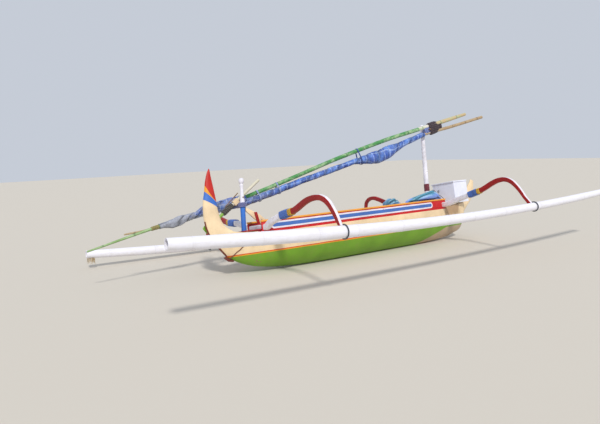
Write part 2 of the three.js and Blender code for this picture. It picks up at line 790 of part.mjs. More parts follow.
const oarDown = new THREE.Vector3(-Math.cos(OAR_ANGLE), 0, -Math.sin(OAR_ANGLE));
const oarUp = new THREE.Vector3(-Math.sin(OAR_ANGLE), 0, Math.cos(OAR_ANGLE));

function onOar(a) {
  return postAt(OAR_PEG_Z, OAR_Y).addScaledVector(oarDown, a);
}

// Oar: distance down from the peg, half height, half thickness
const OAR = [
  [-415, OAR_RADIUS, OAR_RADIUS],
  [400, OAR_RADIUS, OAR_RADIUS],
  [450, 48, 12],
  [680, 56, 10],
  [705, 44, 8],
];

function oarRing(a, high, thick) {
  return circle(onOar(a), oarUp, Y_AXIS, high, thick, 12);
}

function makeOar() {
  const shaft = loft(OAR.map(([a, high, thick]) => oarRing(a, high, thick)));
  const pegRoom = bar(postAt(OAR_PEG_Z, 0), postAt(OAR_PEG_Z, 200), OAR_PEG_RADIUS + PIN_FIT, PEG_SIDES);
  add('steering_oar', cut(shaft, pegRoom), 'bamboo');
  const shaftRoom = loft([20, 399].map((a) => oarRing(a, OAR_RADIUS + GAP, OAR_RADIUS + GAP)));
  const serving = bar(onOar(SERVING_REACH[0]), onOar(SERVING_REACH[1]), SERVING_RADIUS, 14);
  add('oar_serving', cut(serving, shaftRoom), 'rope');
  const chock = new THREE.BoxGeometry(...CHOCK_SIZE).rotateY(-OAR_ANGLE);
  chock.translate(...onOar(CHOCK_REACH).toArray());
  add('oar_chock', cut(chock, shaftRoom), 'cream');
}

// Sections of the brace board from the thwart up to the post: two corners x, z
const BRACE = [
  [[668, 505 + GAP], [810, 505 + GAP]],
  [[510, 650], [590, 712]],
  [[382, 780], [382, 835]],
];
const BRACE_HALF = 15;
const BRACE_HOLE = [606, 628, 16];
// Its foot on the rear boom and its head: x from, x to, z
const PROP = [[532, 572, REAR_ROWS[0][1] + REAR_ROWS[0][3] + GAP], [500, 540, 752]];
const PROP_Y = [-38, -BRACE_HALF - GAP];

// Board from the thwart up to the post, tapering, with a rope hole, and the prop beside it
function makeBrace() {
  const rings = BRACE.map(([a, b]) => {
    const corners = [[a, -1], [b, -1], [b, 1], [a, 1]];
    return corners.map(([[x, z], side]) => new THREE.Vector3(x, BRACE_HALF * side, z));
  });
  const [x, z, radius] = BRACE_HOLE;
  const hole = bar(new THREE.Vector3(x, -40, z), new THREE.Vector3(x, 40, z), radius, 12);
  add('post_brace', cut(loft(rings), hole), 'cream');
  const [out, near] = PROP_Y;
  const prop = PROP.map(([x0, x1, level]) => {
    return [[x0, out], [x1, out], [x1, near], [x0, near]].map(([px, py]) => new THREE.Vector3(px, py, level));
  });
  add('brace_prop', loft(prop), 'red');
}

function makeLocker() {
  const [x0, x1] = LOCKER_X;
  const [z0, z1] = LOCKER_Z;
  const w = LOCKER_HALF_WIDTH;
  const inside = w - LOCKER_WALL;
  const room = box(x0 + LOCKER_WALL, x1 - LOCKER_WALL, -inside, inside, z0 + LOCKER_WALL, z1 + 20);
  add('bow_locker', cut(box(x0, x1, -w, w, z0, z1), room), 'white');
  add('locker_lid', box(x0 - LID_LIP, x1, -w - LID_LIP, w + LID_LIP, z1 + GAP, z1 + LID_THICK), 'white');
  const pin = x1 + HINGE_OUT;
  const ends = [-HINGE_HALF_LENGTH, HINGE_HALF_LENGTH];
  const barrel = bar(...ends.map((y) => new THREE.Vector3(pin, y, z1)), HINGE_RADIUS, 10);
  const leaf = box(x1 + GAP, pin - 1, ...ends, z1 - LEAF_DEPTH, z1 - 2);
  add('locker_hinge', join(barrel, leaf), 'timber');
}

// Folded cover cloths: name, x, y, length, width at the foot, width above, bottom, waist, height
const CLOTHS = [
  ['cover_cloth_aft', 3040, -65, 300, 210, 210, 505, 560, 235],
  ['cover_cloth_fore', 3720, -150, 900, 104, 176, 564.3, 627, 225],
];
// Share of length from the middle, of width, and of height for each cover
const CLOTH_SHAPE = [
  [-1, 0.7, 0.6, 0.42],
  [-0.6, 1, 0.92, 0.6],
  [0, 1, 1, 0.86],
  [0.45, 1, 0.94, 1],
  [1, 0.7, 0.5, 0.62],
];

function makeCloths() {
  for (const [i, [name, x, y, length, foot, width, bottom, waist, height]] of CLOTHS.entries()) {
    const rings = CLOTH_SHAPE.map(([t, wide, ...tall]) => {
      const top = bottom + height * tall[i];
      const [low, half] = [foot * wide / 2, width * wide / 2];
      const above = Math.min(waist + 36, (waist + top) / 2);
      const starboard = [[low, bottom], [low, waist], [half, above], [half * 0.6, top]];
      const shape = [...starboard, ...starboard.map(([dy, z]) => [-dy, z]).reverse()];
      return shape.map(([dy, z]) => new THREE.Vector3(x + t * length / 2, y + dy, z + GAP));
    });
    add(name, loft(rings), 'teal');
  }
}

makeHull();
makeEnds();
makeStrakes();
makeBoards();
makeBooms();
makePost();
makeBecket();
makeBrace();
makeMast();
makeBundle();
makeOar();
makeLocker();
makeCloths();

const canoe = new THREE.Group();
canoe.add(boat);
canoe.updateMatrixWorld(true);
const bounds = new THREE.Box3().setFromObject(canoe, true);
const centre = bounds.getCenter(new THREE.Vector3());
boat.position.set(-centre.x, -centre.y, -bounds.min.z);
canoe.updateMatrixWorld(true);

export default canoe;
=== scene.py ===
"""Double outrigger sailing canoe, drawn up with its sail furled: shapes, finishes, cloth, cordage.

Metres. Shapes are worked out in the boat's own axes, X from the tip of the stern's jaw to the bow,
Y to port and Z up from the designed base line. lean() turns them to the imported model's axes, where
the boat leans to port on its keel and its port float.
"""
import logging
import math
from collections.abc import Callable
from dataclasses import dataclass, field
from functools import cache

import bmesh
import bpy
import numpy as np
from mathutils import Matrix


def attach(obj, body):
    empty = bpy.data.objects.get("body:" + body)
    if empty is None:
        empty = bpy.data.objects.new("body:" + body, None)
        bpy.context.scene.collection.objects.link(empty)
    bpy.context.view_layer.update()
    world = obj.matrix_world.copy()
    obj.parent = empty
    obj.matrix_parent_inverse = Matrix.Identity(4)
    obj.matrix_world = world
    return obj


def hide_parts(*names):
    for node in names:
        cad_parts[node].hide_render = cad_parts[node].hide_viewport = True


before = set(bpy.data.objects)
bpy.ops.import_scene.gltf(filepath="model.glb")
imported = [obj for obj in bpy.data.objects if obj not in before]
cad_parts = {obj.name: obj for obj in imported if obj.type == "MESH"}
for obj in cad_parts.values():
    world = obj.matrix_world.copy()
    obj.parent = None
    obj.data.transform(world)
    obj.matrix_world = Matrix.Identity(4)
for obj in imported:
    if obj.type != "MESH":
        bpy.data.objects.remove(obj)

LOG = logging.getLogger("canoe")
Array = np.ndarray
Curve = Callable[[Array], Array]
TURN = 2.0 * math.pi
MM = 0.001
Tree = bpy.types.NodeTree
Socket = bpy.types.NodeSocket
Feed = Socket | str | float | tuple[float, ...]
MIX = {"out": 2, "data_type": "RGBA"}

HEEL = math.radians(9.638)
BASE = np.array([-2.34678, -0.05866, 0.08910])
AHEAD, PORT, UP = np.eye(3)
# Gap left where two timbers meet, and under what is wound or scribed to fit
SEAM = 0.0003
SNUG = 0.0004


def lean(points: Array) -> Array:
    """Turn points from the boat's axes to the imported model's: a roll to port by HEEL, then a shift.

    Args:
        points: Points in the boat's axes, the last axis being x, y, z.

    Returns:
        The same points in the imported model's axes.
    """
    x, y, z = np.moveaxis(np.asarray(points, float), -1, 0)
    c, s = math.cos(HEEL), math.sin(HEEL)
    return np.stack([x, y * c + z * s, z * c - y * s], -1) + BASE


def table(rows: list[tuple[float, ...]]) -> Array:
    """Table of millimetres as an array of metres."""
    return np.array(rows, float) * MM


def listed(*rows: float | tuple[float, ...], size: float = MM) -> Array:
    """Field of a class that holds a table; its numbers are in millimetres unless size says else."""
    return field(default_factory=lambda: np.array(rows, float) * size)


def glide(rows: Array, at: Array) -> Array:
    """Read a table on a smooth curve that never leaves the values of a stretch.

    Cubic between rows, with the harmonic mean of the two neighbouring rises as the slope at a row.

    Args:
        rows: Table whose first column holds the places.
        at: Places to read, any shape.

    Returns:
        The other columns at those places, as a last axis.
    """
    keys, values = rows[:, 0], rows[:, 1:]
    rise = np.diff(values, axis=0) / np.diff(keys)[:, None]
    before, after = rise[:-1], rise[1:]
    same = before * after > 0
    slope = np.zeros_like(values)
    slope[1:-1] = np.where(same, 2 * before * after / np.where(same, before + after, 1.0), 0.0)
    slope[0], slope[-1] = rise[0], rise[-1]
    at = np.clip(at, keys[0], keys[-1])
    i = np.clip(np.searchsorted(keys, at, side="right") - 1, 0, len(keys) - 2)
    span = (keys[i + 1] - keys[i])[..., None]
    t = (at - keys[i])[..., None] / span
    held = (1 + 2 * t) * (1 - t) ** 2 * values[i] + t * t * (3 - 2 * t) * values[i + 1]
    return held + span * (t * (1 - t) ** 2 * slope[i] - t * t * (1 - t) * slope[i + 1])


def refine(rows: Array, parts: int) -> Array:
    """Put smooth rows between the rows of a table, parts of them to each stretch."""
    numbered = np.column_stack([np.arange(len(rows)), rows])
    return glide(numbered, np.linspace(0, len(rows) - 1, (len(rows) - 1) * parts + 1))


def ease(t: Array) -> Array:
    """Smooth step from 0 at t = 0 to 1 at t = 1."""
    t = np.clip(t, 0.0, 1.0)
    return t * t * (3 - 2 * t)


def unit(vectors: Array) -> Array:
    """Vectors of the same direction and length 1."""
    return vectors / np.linalg.norm(vectors, axis=-1, keepdims=True)


def ripples(seed: int, count: int, *axes: tuple[Array, float]) -> Array:
    """Seeded waviness between about -1 and 1: a mean of sines of random slant and phase.

    Args:
        seed: Seed of the random slants and phases.
        count: Number of sines.
        axes: Pairs of a coordinate's grid and the most waves to each unit of it.

    Returns:
        The waviness on the grid.
    """
    dice = np.random.default_rng(seed)
    total = 0.0
    for _ in range(count):
        phase = dice.uniform(0, TURN)
        for grid, most in axes:
            phase = phase + TURN * dice.uniform(-1, 1) * most * grid
        total = total + np.sin(phase)
    return total / math.sqrt(count)


@dataclass
class Patch:
    """Part of a mesh: points, faces of four and three corners, a uv pair a corner, and marks.

    A mark is a named number at each point, which a finish can read.
    """

    points: Array
    quads: Array
    tris: Array
    quad_uv: Array
    tri_uv: Array
    marks: dict[str, Array] = field(default_factory=dict)

    def volume(self) -> float:
        """Volume enclosed by the faces, negative where they face inwards."""
        q, t = self.points[self.quads], self.points[self.tris]
        corners = np.concatenate([q[:, [0, 1, 2]], q[:, [0, 2, 3]], t])
        a, b, c = corners[:, 0], corners[:, 1], corners[:, 2]
        return float(np.einsum("ij,ij->", a, np.cross(b, c))) / 6

    def turned(self) -> "Patch":
        """The same patch with its faces turned round."""
        return Patch(self.points, self.quads[:, ::-1], self.tris[:, ::-1], self.quad_uv[:, ::-1],
                     self.tri_uv[:, ::-1], self.marks)


def unroll(grid: Array, ring: bool, loop: bool) -> Array:
    """Uv of a grid in metres: mean distance along its rows and mean distance along its columns."""
    if loop:
        grid = np.concatenate([grid, grid[:1]], 0)
    if ring:
        grid = np.concatenate([grid, grid[:, :1]], 1)
    along = np.linalg.norm(np.diff(grid, axis=0), axis=2).mean(1)
    around = np.linalg.norm(np.diff(grid, axis=1), axis=2).mean(0)
    axes = [np.concatenate([[0.0], np.cumsum(steps)]) for steps in (along, around)]
    return np.stack(np.meshgrid(*axes, indexing="ij"), -1)


def surface(grid: Array, ring: bool = True, loop: bool = False, caps: bool = True,
            marks: dict[str, Array] | None = None, uv: Array | None = None) -> Patch:
    """Skin a grid of points: a face between each two neighbouring rows and columns.

    Args:
        grid: Points, rows along the shape and columns around it.
        ring: Whether the last column joins the first.
        loop: Whether the last row joins the first.
        caps: Whether a fan to the middle closes each end.
        marks: Named numbers on the grid.
        uv: Uv of the grid, with a row and a column more where it closes.

    Returns:
        The patch, facing outwards where it is closed.
    """
    rows, cols = grid.shape[:2]
    i, j = np.meshgrid(np.arange(rows - (not loop)), np.arange(cols - (not ring)), indexing="ij")
    near, far, right = i * cols, (i + 1) % rows * cols, (j + 1) % cols
    quads = np.stack([near + j, near + right, far + right, far + j], -1).reshape(-1, 4)
    uv = unroll(grid, ring, loop) if uv is None else uv
    corners = [uv[i, j], uv[i, j + 1], uv[i + 1, j + 1], uv[i + 1, j]]
    quad_uv = np.stack(corners, -2).reshape(-1, 4, 2)
    points = grid.reshape(-1, 3)
    marks = {name: np.broadcast_to(values, (rows, cols)).reshape(-1)
             for name, values in (marks or {}).items()}
    tris, tri_uv = np.zeros((0, 3), int), np.zeros((0, 3, 2))
    if caps and ring and not loop:
        k = np.arange(cols)
        following = (k + 1) % cols
        fans, fan_uv = [], []
        for row, order in ((0, (following, k)), (rows - 1, (k, following))):
            centre = np.full(cols, len(points))
            fans.append(np.stack([centre, row * cols + order[0], row * cols + order[1]], -1))
            rim = [uv[row, k + 1], uv[row, k]] if row == 0 else [uv[row, k], uv[row, k + 1]]
            fan_uv.append(np.stack([(rim[0] + rim[1]) / 2, *rim], -2))
            points = np.concatenate([points, grid[row].mean(0)[None]])
            for name, values in marks.items():
                mean = values[row * cols:(row + 1) * cols].mean()
                marks[name] = np.append(values, mean)
        tris, tri_uv = np.concatenate(fans), np.concatenate(fan_uv)
    patch = Patch(points, quads, tris, quad_uv, tri_uv, marks)
    closed = ring and (loop or caps)
    return patch.turned() if closed and patch.volume() < 0 else patch


def merge(*patches: Patch) -> Patch:
    """One patch of several; a mark that a patch lacks is 0 there."""
    offsets = np.cumsum([0] + [len(p.points) for p in patches[:-1]])
    names = {name for p in patches for name in p.marks}
    marks = {n: np.concatenate([p.marks.get(n, np.zeros(len(p.points))) for p in patches])
             for n in names}
    return Patch(
        np.concatenate([p.points for p in patches]),
        np.concatenate([p.quads + o for p, o in zip(patches, offsets)]),
        np.concatenate([p.tris + o for p, o in zip(patches, offsets)]),
        np.concatenate([p.quad_uv for p in patches]),
        np.concatenate([p.tri_uv for p in patches]),
        marks,
    )


def oval(count: int, power: float = 2.0) -> Array:
    """Closed profile in the square of -1 to 1: a circle for power 2, nearer a square above that.

    Each point is the cosine and the sine of its angle, raised to 2 / power with their signs kept.
    """
    angle = TURN * np.arange(count) / count
    both = np.stack([np.cos(angle), np.sin(angle)], -1)
    return np.sign(both) * np.abs(both) ** (2 / power)


def carry(path: Array, profile: Array, up: Array = UP, loop: bool = False) -> Array:
    """Carry a profile along a path: path + side times its first number + above times its second.

    Side is square to the path and to up, and above is square to both.

    Args:
        path: Points of the path, one a row.
        profile: Profile in metres, the same for all rows or one for each.
        up: Direction that above leans to, one or one a row.
        loop: Whether the path closes.

    Returns:
        Grid of points, one row for each point of the path.
    """
    rise = np.roll(path, -1, 0) - np.roll(path, 1, 0) if loop else np.gradient(path, axis=0)
    tangent = unit(rise)
    side = unit(np.cross(tangent, np.broadcast_to(up, path.shape)))
    above = np.cross(side, tangent)
    profile = np.broadcast_to(profile, (len(path),) + profile.shape[-2:])
    return path[:, None] + side[:, None] * profile[..., :1] + above[:, None] * profile[..., 1:]


def tube(path: Array, radius: float | Array, up: Array = UP, loop: bool = False,
         sides: int = 10) -> Patch:
    """Round cord along a path, with its own uv in metres."""
    scale = np.broadcast_to(radius, (len(path),))[:, None, None]
    return surface(carry(path, oval(sides)[None] * scale, up, loop), loop=loop)


def winding(path: Array, half: Array, cord: float, up: Array = UP, power: float = 2.0,
            count: int = 44, lift: float = 0.0) -> Patch:
    """Cord wound tight round a bar: a sleeve whose surface rises as a half circle on every turn.

    The rise at a point is half a cord times the square root of 1 - f squared, where f runs from -1
    to 1 over each cord's width and slides by one cord for each turn round the bar.

    Args:
        path: Centre line, finely stepped.
        half: Half sizes of the bar, side and above, one pair or one a row.
        cord: Diameter of the cord.
        up: Direction of above.
        power: Squareness of the bar's section.
        count: Points round the section.
        lift: Distance of the cord's middle off the bar.

    Returns:
        The sleeve, its uv running round the bar first.
    """
    steps = np.linalg.norm(np.diff(path, axis=0), axis=1)
    along = np.concatenate([[0.0], np.cumsum(steps)])[:, None]
    turn = np.arange(count)[None] / count
    f = 2 * ((along / cord + turn) % 1.0) - 1
    rise = lift + cord / 2 * np.sqrt(np.maximum(0.0, 1 - f * f))
    ends = np.minimum(along, along[-1] - along) / cord
    rise = rise * ease(ends * 2 + 0.2)
    shape = oval(count, power)[None]
    size = np.broadcast_to(half, (len(path), 2))[:, None]
    grid = carry(path, shape * (size + rise[..., None]), up)
    uv = unroll(grid, True, False)[..., ::-1]
    return surface(grid, uv=uv)


def stretch(start: Array, end: Array, step: float) -> Array:
    """Straight path from one point to another in steps of about that length."""
    start, end = np.asarray(start, float), np.asarray(end, float)
    count = max(2, int(np.linalg.norm(end - start) / step) + 1)
    return start + (end - start) * np.linspace(0, 1, count)[:, None]


def linear(colour: str) -> tuple[float, float, float, float]:
    """Linear colour and full alpha of an sRGB hex value."""
    parts = np.array([int(colour[i:i + 2], 16) for i in (1, 3, 5)]) / 255
    light = np.where(parts <= 0.04045, parts / 12.92, ((parts + 0.055) / 1.055) ** 2.4)
    return (*light.tolist(), 1.0)


def feed(tree: Tree, node: bpy.types.Node, feeds: dict[str | int, Feed]) -> None:
    """Give a node its inputs by name or number: another node's output, a number or a hex colour."""
    for key, value in feeds.items():
        if isinstance(value, Socket):
            tree.links.new(value, node.inputs[key])
        else:
            node.inputs[key].default_value = linear(value) if isinstance(value, str) else value


def put(tree: Tree, kind: str, feeds: dict[str | int, Feed] | None = None,
        stops: list[tuple[float, str]] | None = None, out: int = 0, **settings: object) -> Socket:
    """Add one node to a tree, set it up and feed it.

    Args:
        tree: Node tree of a material.
        kind: Type of the node, without its first part ShaderNode.
        feeds: What goes in each input; see feed().
        stops: Places and colours of a colour ramp, whose colours then don't run into each other.
        out: Number of the output to return.
        settings: Properties of the node.

    Returns:
        One output of the node.
    """
    node = tree.nodes.new("ShaderNode" + kind)
    for key, value in settings.items():
        setattr(node, key, value)
    feed(tree, node, feeds or {})
    for i, (at, colour) in enumerate(stops or []):
        ramp = node.color_ramp
        ramp.interpolation = "CONSTANT"
        stop = ramp.elements[i] if i < len(ramp.elements) else ramp.elements.new(1.0)
        stop.position, stop.color = at, linear(colour)
    return node.outputs[out]


@dataclass(frozen=True)
class Finish:
    """Surface of a piece; dress() makes its nodes and says what feeds each input of the shader."""

    name: str

    def spot(self, tree: Tree) -> Socket:
        """Object coordinates turned back to the boat's own axes."""
        c, s = math.cos(HEEL), math.sin(HEEL)
        shift = (-BASE[0], -(BASE[1] * c - BASE[2] * s), -(BASE[1] * s + BASE[2] * c))
        here = put(tree, "TexCoord", out=3)
        return put(tree, "Mapping", {"Vector": here, "Location": shift, "Rotation": (HEEL, 0, 0)})

    def dress(self, tree: Tree) -> dict[str, Feed]:
        """Inputs of the shader by name."""
        raise NotImplementedError


@cache
def made(finish: Finish) -> bpy.types.Material:
    """Material of a finish, made once."""
    material = bpy.data.materials.new(finish.name)
    material.use_nodes = True
    tree = material.node_tree
    feed(tree, tree.nodes["Principled BSDF"], finish.dress(tree))
    return material


@dataclass(frozen=True)
class Enamel(Finish):
    """Brushed oil enamel on hand-shaped timber: soft gloss, brush marks, chips and salt stain."""

    colour: str = "#EEECF8"
    under: str = "#8E7355"
    chips: float = 0.3
    soil: float = 0.3
    gloss: float = 0.36
    stain: str = "#7A6A55"

    def coat(self, tree: Tree, spot: Socket) -> Feed:
        """Colour of the fresh paint at a spot; a plain coat has one colour."""
        return self.colour

    def dress(self, tree: Tree) -> dict[str, Feed]:
        """Lay tone, stain, chips and brush marks over the coat."""
        spot = self.spot(tree)
        coat = self.coat(tree, spot)
        # Patches of 300 mm where sun and salt have faded the paint
        patches = put(tree, "TexNoise", {"Vector": spot, "Scale": 3.3, "Detail": 5.0})
        tone = put(tree, "MapRange", {"Value": patches, "From Min": 0.32, "From Max": 0.68,
                                      "To Min": 0.84, "To Max": 1.06})
        toned = put(tree, "Mix", {0: 1.0, 6: coat, 7: tone}, **MIX, blend_type="MULTIPLY")
        # Brush marks 8 mm wide and about 400 mm long
        combed = put(tree, "Mapping", {"Vector": spot, "Scale": (2.5, 120.0, 120.0)})
        brush = put(tree, "TexNoise", {"Vector": combed, "Scale": 1.0, "Detail": 3.0})
        grime = put(tree, "TexNoise", {"Vector": spot, "Scale": 11.0, "Detail": 9.0,
                                       "Roughness": 0.68, "Distortion": 0.4})
        dirt = put(tree, "MapRange", {"Value": grime, "From Min": 0.46, "From Max": 0.74,
                                      "To Min": 0.0, "To Max": self.soil})
        stained = put(tree, "Mix", {0: dirt, 6: toned, 7: self.stain}, **MIX)
        flakes = put(tree, "TexNoise", {"Vector": spot, "Scale": 34.0, "Detail": 7.0,
                                        "Roughness": 0.72})
        worn = put(tree, "Math", {0: flakes, 1: patches}, operation="ADD")
        edge = 1.32 - 0.18 * self.chips
        chip = put(tree, "MapRange", {"Value": worn, "From Min": edge, "From Max": edge + 0.02})
        seen = put(tree, "Mix", {0: chip, 6: stained, 7: self.under}, **MIX)
        dull = put(tree, "MapRange", {"Value": grime, "From Min": 0.3, "From Max": 0.75,
                                      "To Min": self.gloss, "To Max": self.gloss + 0.3})
        relief = put(tree, "Math", {0: chip, 1: -0.5, 2: brush}, operation="MULTIPLY_ADD")
        bump = put(tree, "Bump", {"Strength": 0.35, "Distance": 0.0025, "Height": relief})
        return {"Base Color": seen, "Roughness": dull, "Normal": bump, "IOR": 1.43}


@dataclass(frozen=True)
class BandedEnamel(Enamel):
    """Enamel in bands of colour, by a mark if one is named, else by height.

    Stops are pairs of the place where a band begins and its hex value.
    """

    stops: tuple[tuple[float, str], ...] = ()
    low: float = 0.0
    high: float = 1.0
    mark: str = ""

    def coat(self, tree: Tree, spot: Socket) -> Feed:
        """Colour of the band at a spot, with edges that waver by 2 mm as a brush's do."""
        if self.mark:
            level = put(tree, "Attribute", out=2, attribute_name=self.mark)
        else:
            level = put(tree, "SeparateXYZ", {0: spot}, out=2)
        sway = put(tree, "TexNoise", {"Vector": spot, "Scale": 14.0, "Detail": 2.0})
        wavy = put(tree, "Math", {0: sway, 1: 0.008 * (self.high - self.low), 2: level},
                   operation="MULTIPLY_ADD")
        share = put(tree, "MapRange", {"Value": wavy, "From Min": self.low, "From Max": self.high})
        stops = [((at - self.low) / (self.high - self.low), colour) for at, colour in self.stops]
        return put(tree, "ValToRGB", {0: share}, stops)


@dataclass(frozen=True)
class HullEnamel(Enamel):
    """Dugout's paint: green, a stripe of two colours, cream, and red at the top and inside, with a
    painted shadow under the front beam.
    """

    bottom: str = "#74A42C"
    line: str = "#F2A22C"
    top_line: str = "#DC4A1E"
    rail: str = "#CC1620"
    inside: str = "#A8232A"
    bare: str = "#B9A48A"
    # Brown of the painted shadow that the front beam and the locker cast on the hull's side
    painted_shadow: str = "#A27C58"
    line_z: float = 0.178
    top_line_z: float = 0.190
    side_z: float = 0.202
    rail_z: float = 0.453
    rail_ends: tuple[float, float] = (0.43, 4.13)
    # Top of the bare forefoot, and the point and slope of the line where the bare wood begins
    forefoot: tuple[float, float, float, float] = (0.14, 3.6, -0.03, 0.32)
    # Middle and reach along the side, and foot, of the painted shadow that the front beam and the
    # locker cast on the hull
    shadow_patch: tuple[float, float, float] = (4.31, 0.26, 0.29)

    def coat(self, tree: Tree, spot: Socket) -> Feed:
        """Colour by height; the bare forefoot, the red rail band, a painted brown shadow under the
        front beam and the red inside lie over it.
        """
        x = put(tree, "SeparateXYZ", {0: spot}, out=0)
        z = put(tree, "SeparateXYZ", {0: spot}, out=2)
        sway = put(tree, "TexNoise", {"Vector": spot, "Scale": 5.0, "Detail": 3.0})
        wavy = put(tree, "Math", {0: sway, 1: 0.007, 2: z}, operation="MULTIPLY_ADD")
        bands = ((-0.2, self.bottom), (self.line_z, self.line), (self.top_line_z, self.top_line),
                 (self.side_z, self.colour))
        share = put(tree, "MapRange", {"Value": wavy, "From Min": -0.2, "From Max": 0.6})
        stops = [((at + 0.2) / 0.8, colour) for at, colour in bands]
        sides = put(tree, "ValToRGB", {0: share}, stops)
        top, start, height, slope = self.forefoot
        climb = put(tree, "Math", {0: x, 1: slope, 2: height - slope * start},
                    operation="MULTIPLY_ADD")
        limit = put(tree, "Math", {0: climb, 1: top}, operation="MINIMUM")
        under = put(tree, "Math", {0: limit, 1: wavy}, operation="SUBTRACT")
        foot = put(tree, "MapRange", {"Value": under, "From Max": 0.015})
        footed = put(tree, "Mix", {0: foot, 6: sides, 7: self.bare}, **MIX)
        middle, reach = sum(self.rail_ends) / 2, (self.rail_ends[1] - self.rail_ends[0]) / 2
        between = put(tree, "Math", {0: x, 1: middle, 2: reach}, operation="COMPARE")
        above = put(tree, "Math", {0: wavy, 1: self.rail_z}, operation="GREATER_THAN")
        band = put(tree, "Math", {0: between, 1: above}, operation="MULTIPLY")
        railed = put(tree, "Mix", {0: band, 6: footed, 7: self.rail}, **MIX)
        # Painted shadow: brown below the front beam, standing for the shade that the beam and the
        # locker cast on the side
        run = put(tree, "Mapping", {"Vector": spot, "Scale": (22.0, 22.0, 5.0)})
        shadow_noise = put(tree, "TexNoise", {"Vector": run, "Scale": 1.0, "Detail": 4.0})
        near = put(tree, "Math", {0: x, 1: self.shadow_patch[0]}, operation="SUBTRACT")
        apart = put(tree, "Math", {0: near}, operation="ABSOLUTE")
        ragged = put(tree, "Math", {0: shadow_noise, 1: 0.16, 2: apart}, operation="MULTIPLY_ADD")
        beside = put(tree, "MapRange", {"Value": ragged, "From Min": self.shadow_patch[1] + 0.09,
                                        "From Max": self.shadow_patch[1], "To Max": 0.75})
        lower = put(tree, "Math", {0: shadow_noise, 1: 0.2, 2: wavy}, operation="MULTIPLY_ADD")
        high = put(tree, "MapRange", {"Value": lower, "From Min": self.shadow_patch[2] + 0.04,
                                      "From Max": self.shadow_patch[2] + 0.17})
        shadowed = put(tree, "Math", {0: beside, 1: high}, operation="MULTIPLY")
        painted_shadow = put(tree, "Mix", {0: shadowed, 6: railed, 7: self.painted_shadow}, **MIX)
        within = put(tree, "Attribute", out=2, attribute_name="inside")
        return put(tree, "Mix", {0: within, 6: painted_shadow, 7: self.inside}, **MIX)


@dataclass(frozen=True)
class StrakeEnamel(Enamel):
    """Washstrake's paint: a blue stripe, round at its ends, in a white border on red."""

    stripe: str = "#4670BE"
    border: str = "#EDEAF4"
    inside: str = "#A8232A"
    centre: tuple[float, float] = (2.186, 0.537)
    half_length: float = 1.566
    blue_half: float = 0.026
    white_half: float = 0.0485

    def coat(self, tree: Tree, spot: Socket) -> Feed:
        """Colour by the distance to a line: that of a stripe with round ends of the same radius."""
        x = put(tree, "SeparateXYZ", {0: spot}, out=0)
        z = put(tree, "SeparateXYZ", {0: spot}, out=2)
        sway = put(tree, "TexNoise", {"Vector": spot, "Scale": 6.0, "Detail": 3.0})
        wavy = put(tree, "Math", {0: sway, 1: 0.006, 2: z}, operation="MULTIPLY_ADD")
        dx = put(tree, "Math", {0: x, 1: self.centre[0]}, operation="SUBTRACT")
        far = put(tree, "Math", {0: dx}, operation="ABSOLUTE")
        over = put(tree, "Math", {0: far, 1: self.half_length - self.white_half},
                   operation="SUBTRACT")
        past = put(tree, "Math", {0: over, 1: 0.0}, operation="MAXIMUM")
        dz = put(tree, "Math", {0: wavy, 1: self.centre[1] + 0.003}, operation="SUBTRACT")
        past_2 = put(tree, "Math", {0: past, 1: past}, operation="MULTIPLY")
        both_2 = put(tree, "Math", {0: dz, 1: dz, 2: past_2}, operation="MULTIPLY_ADD")
        reach = put(tree, "Math", {0: both_2}, operation="SQRT")
        stops = [(0.0, self.stripe), (self.blue_half * 10, self.border),
                 (self.white_half * 10, self.colour)]
        tenfold = put(tree, "Math", {0: reach, 1: 10.0}, operation="MULTIPLY")
        outer = put(tree, "ValToRGB", {0: tenfold}, stops)
        within = put(tree, "Attribute", out=2, attribute_name="inside")
        return put(tree, "Mix", {0: within, 6: outer, 7: self.inside}, **MIX)


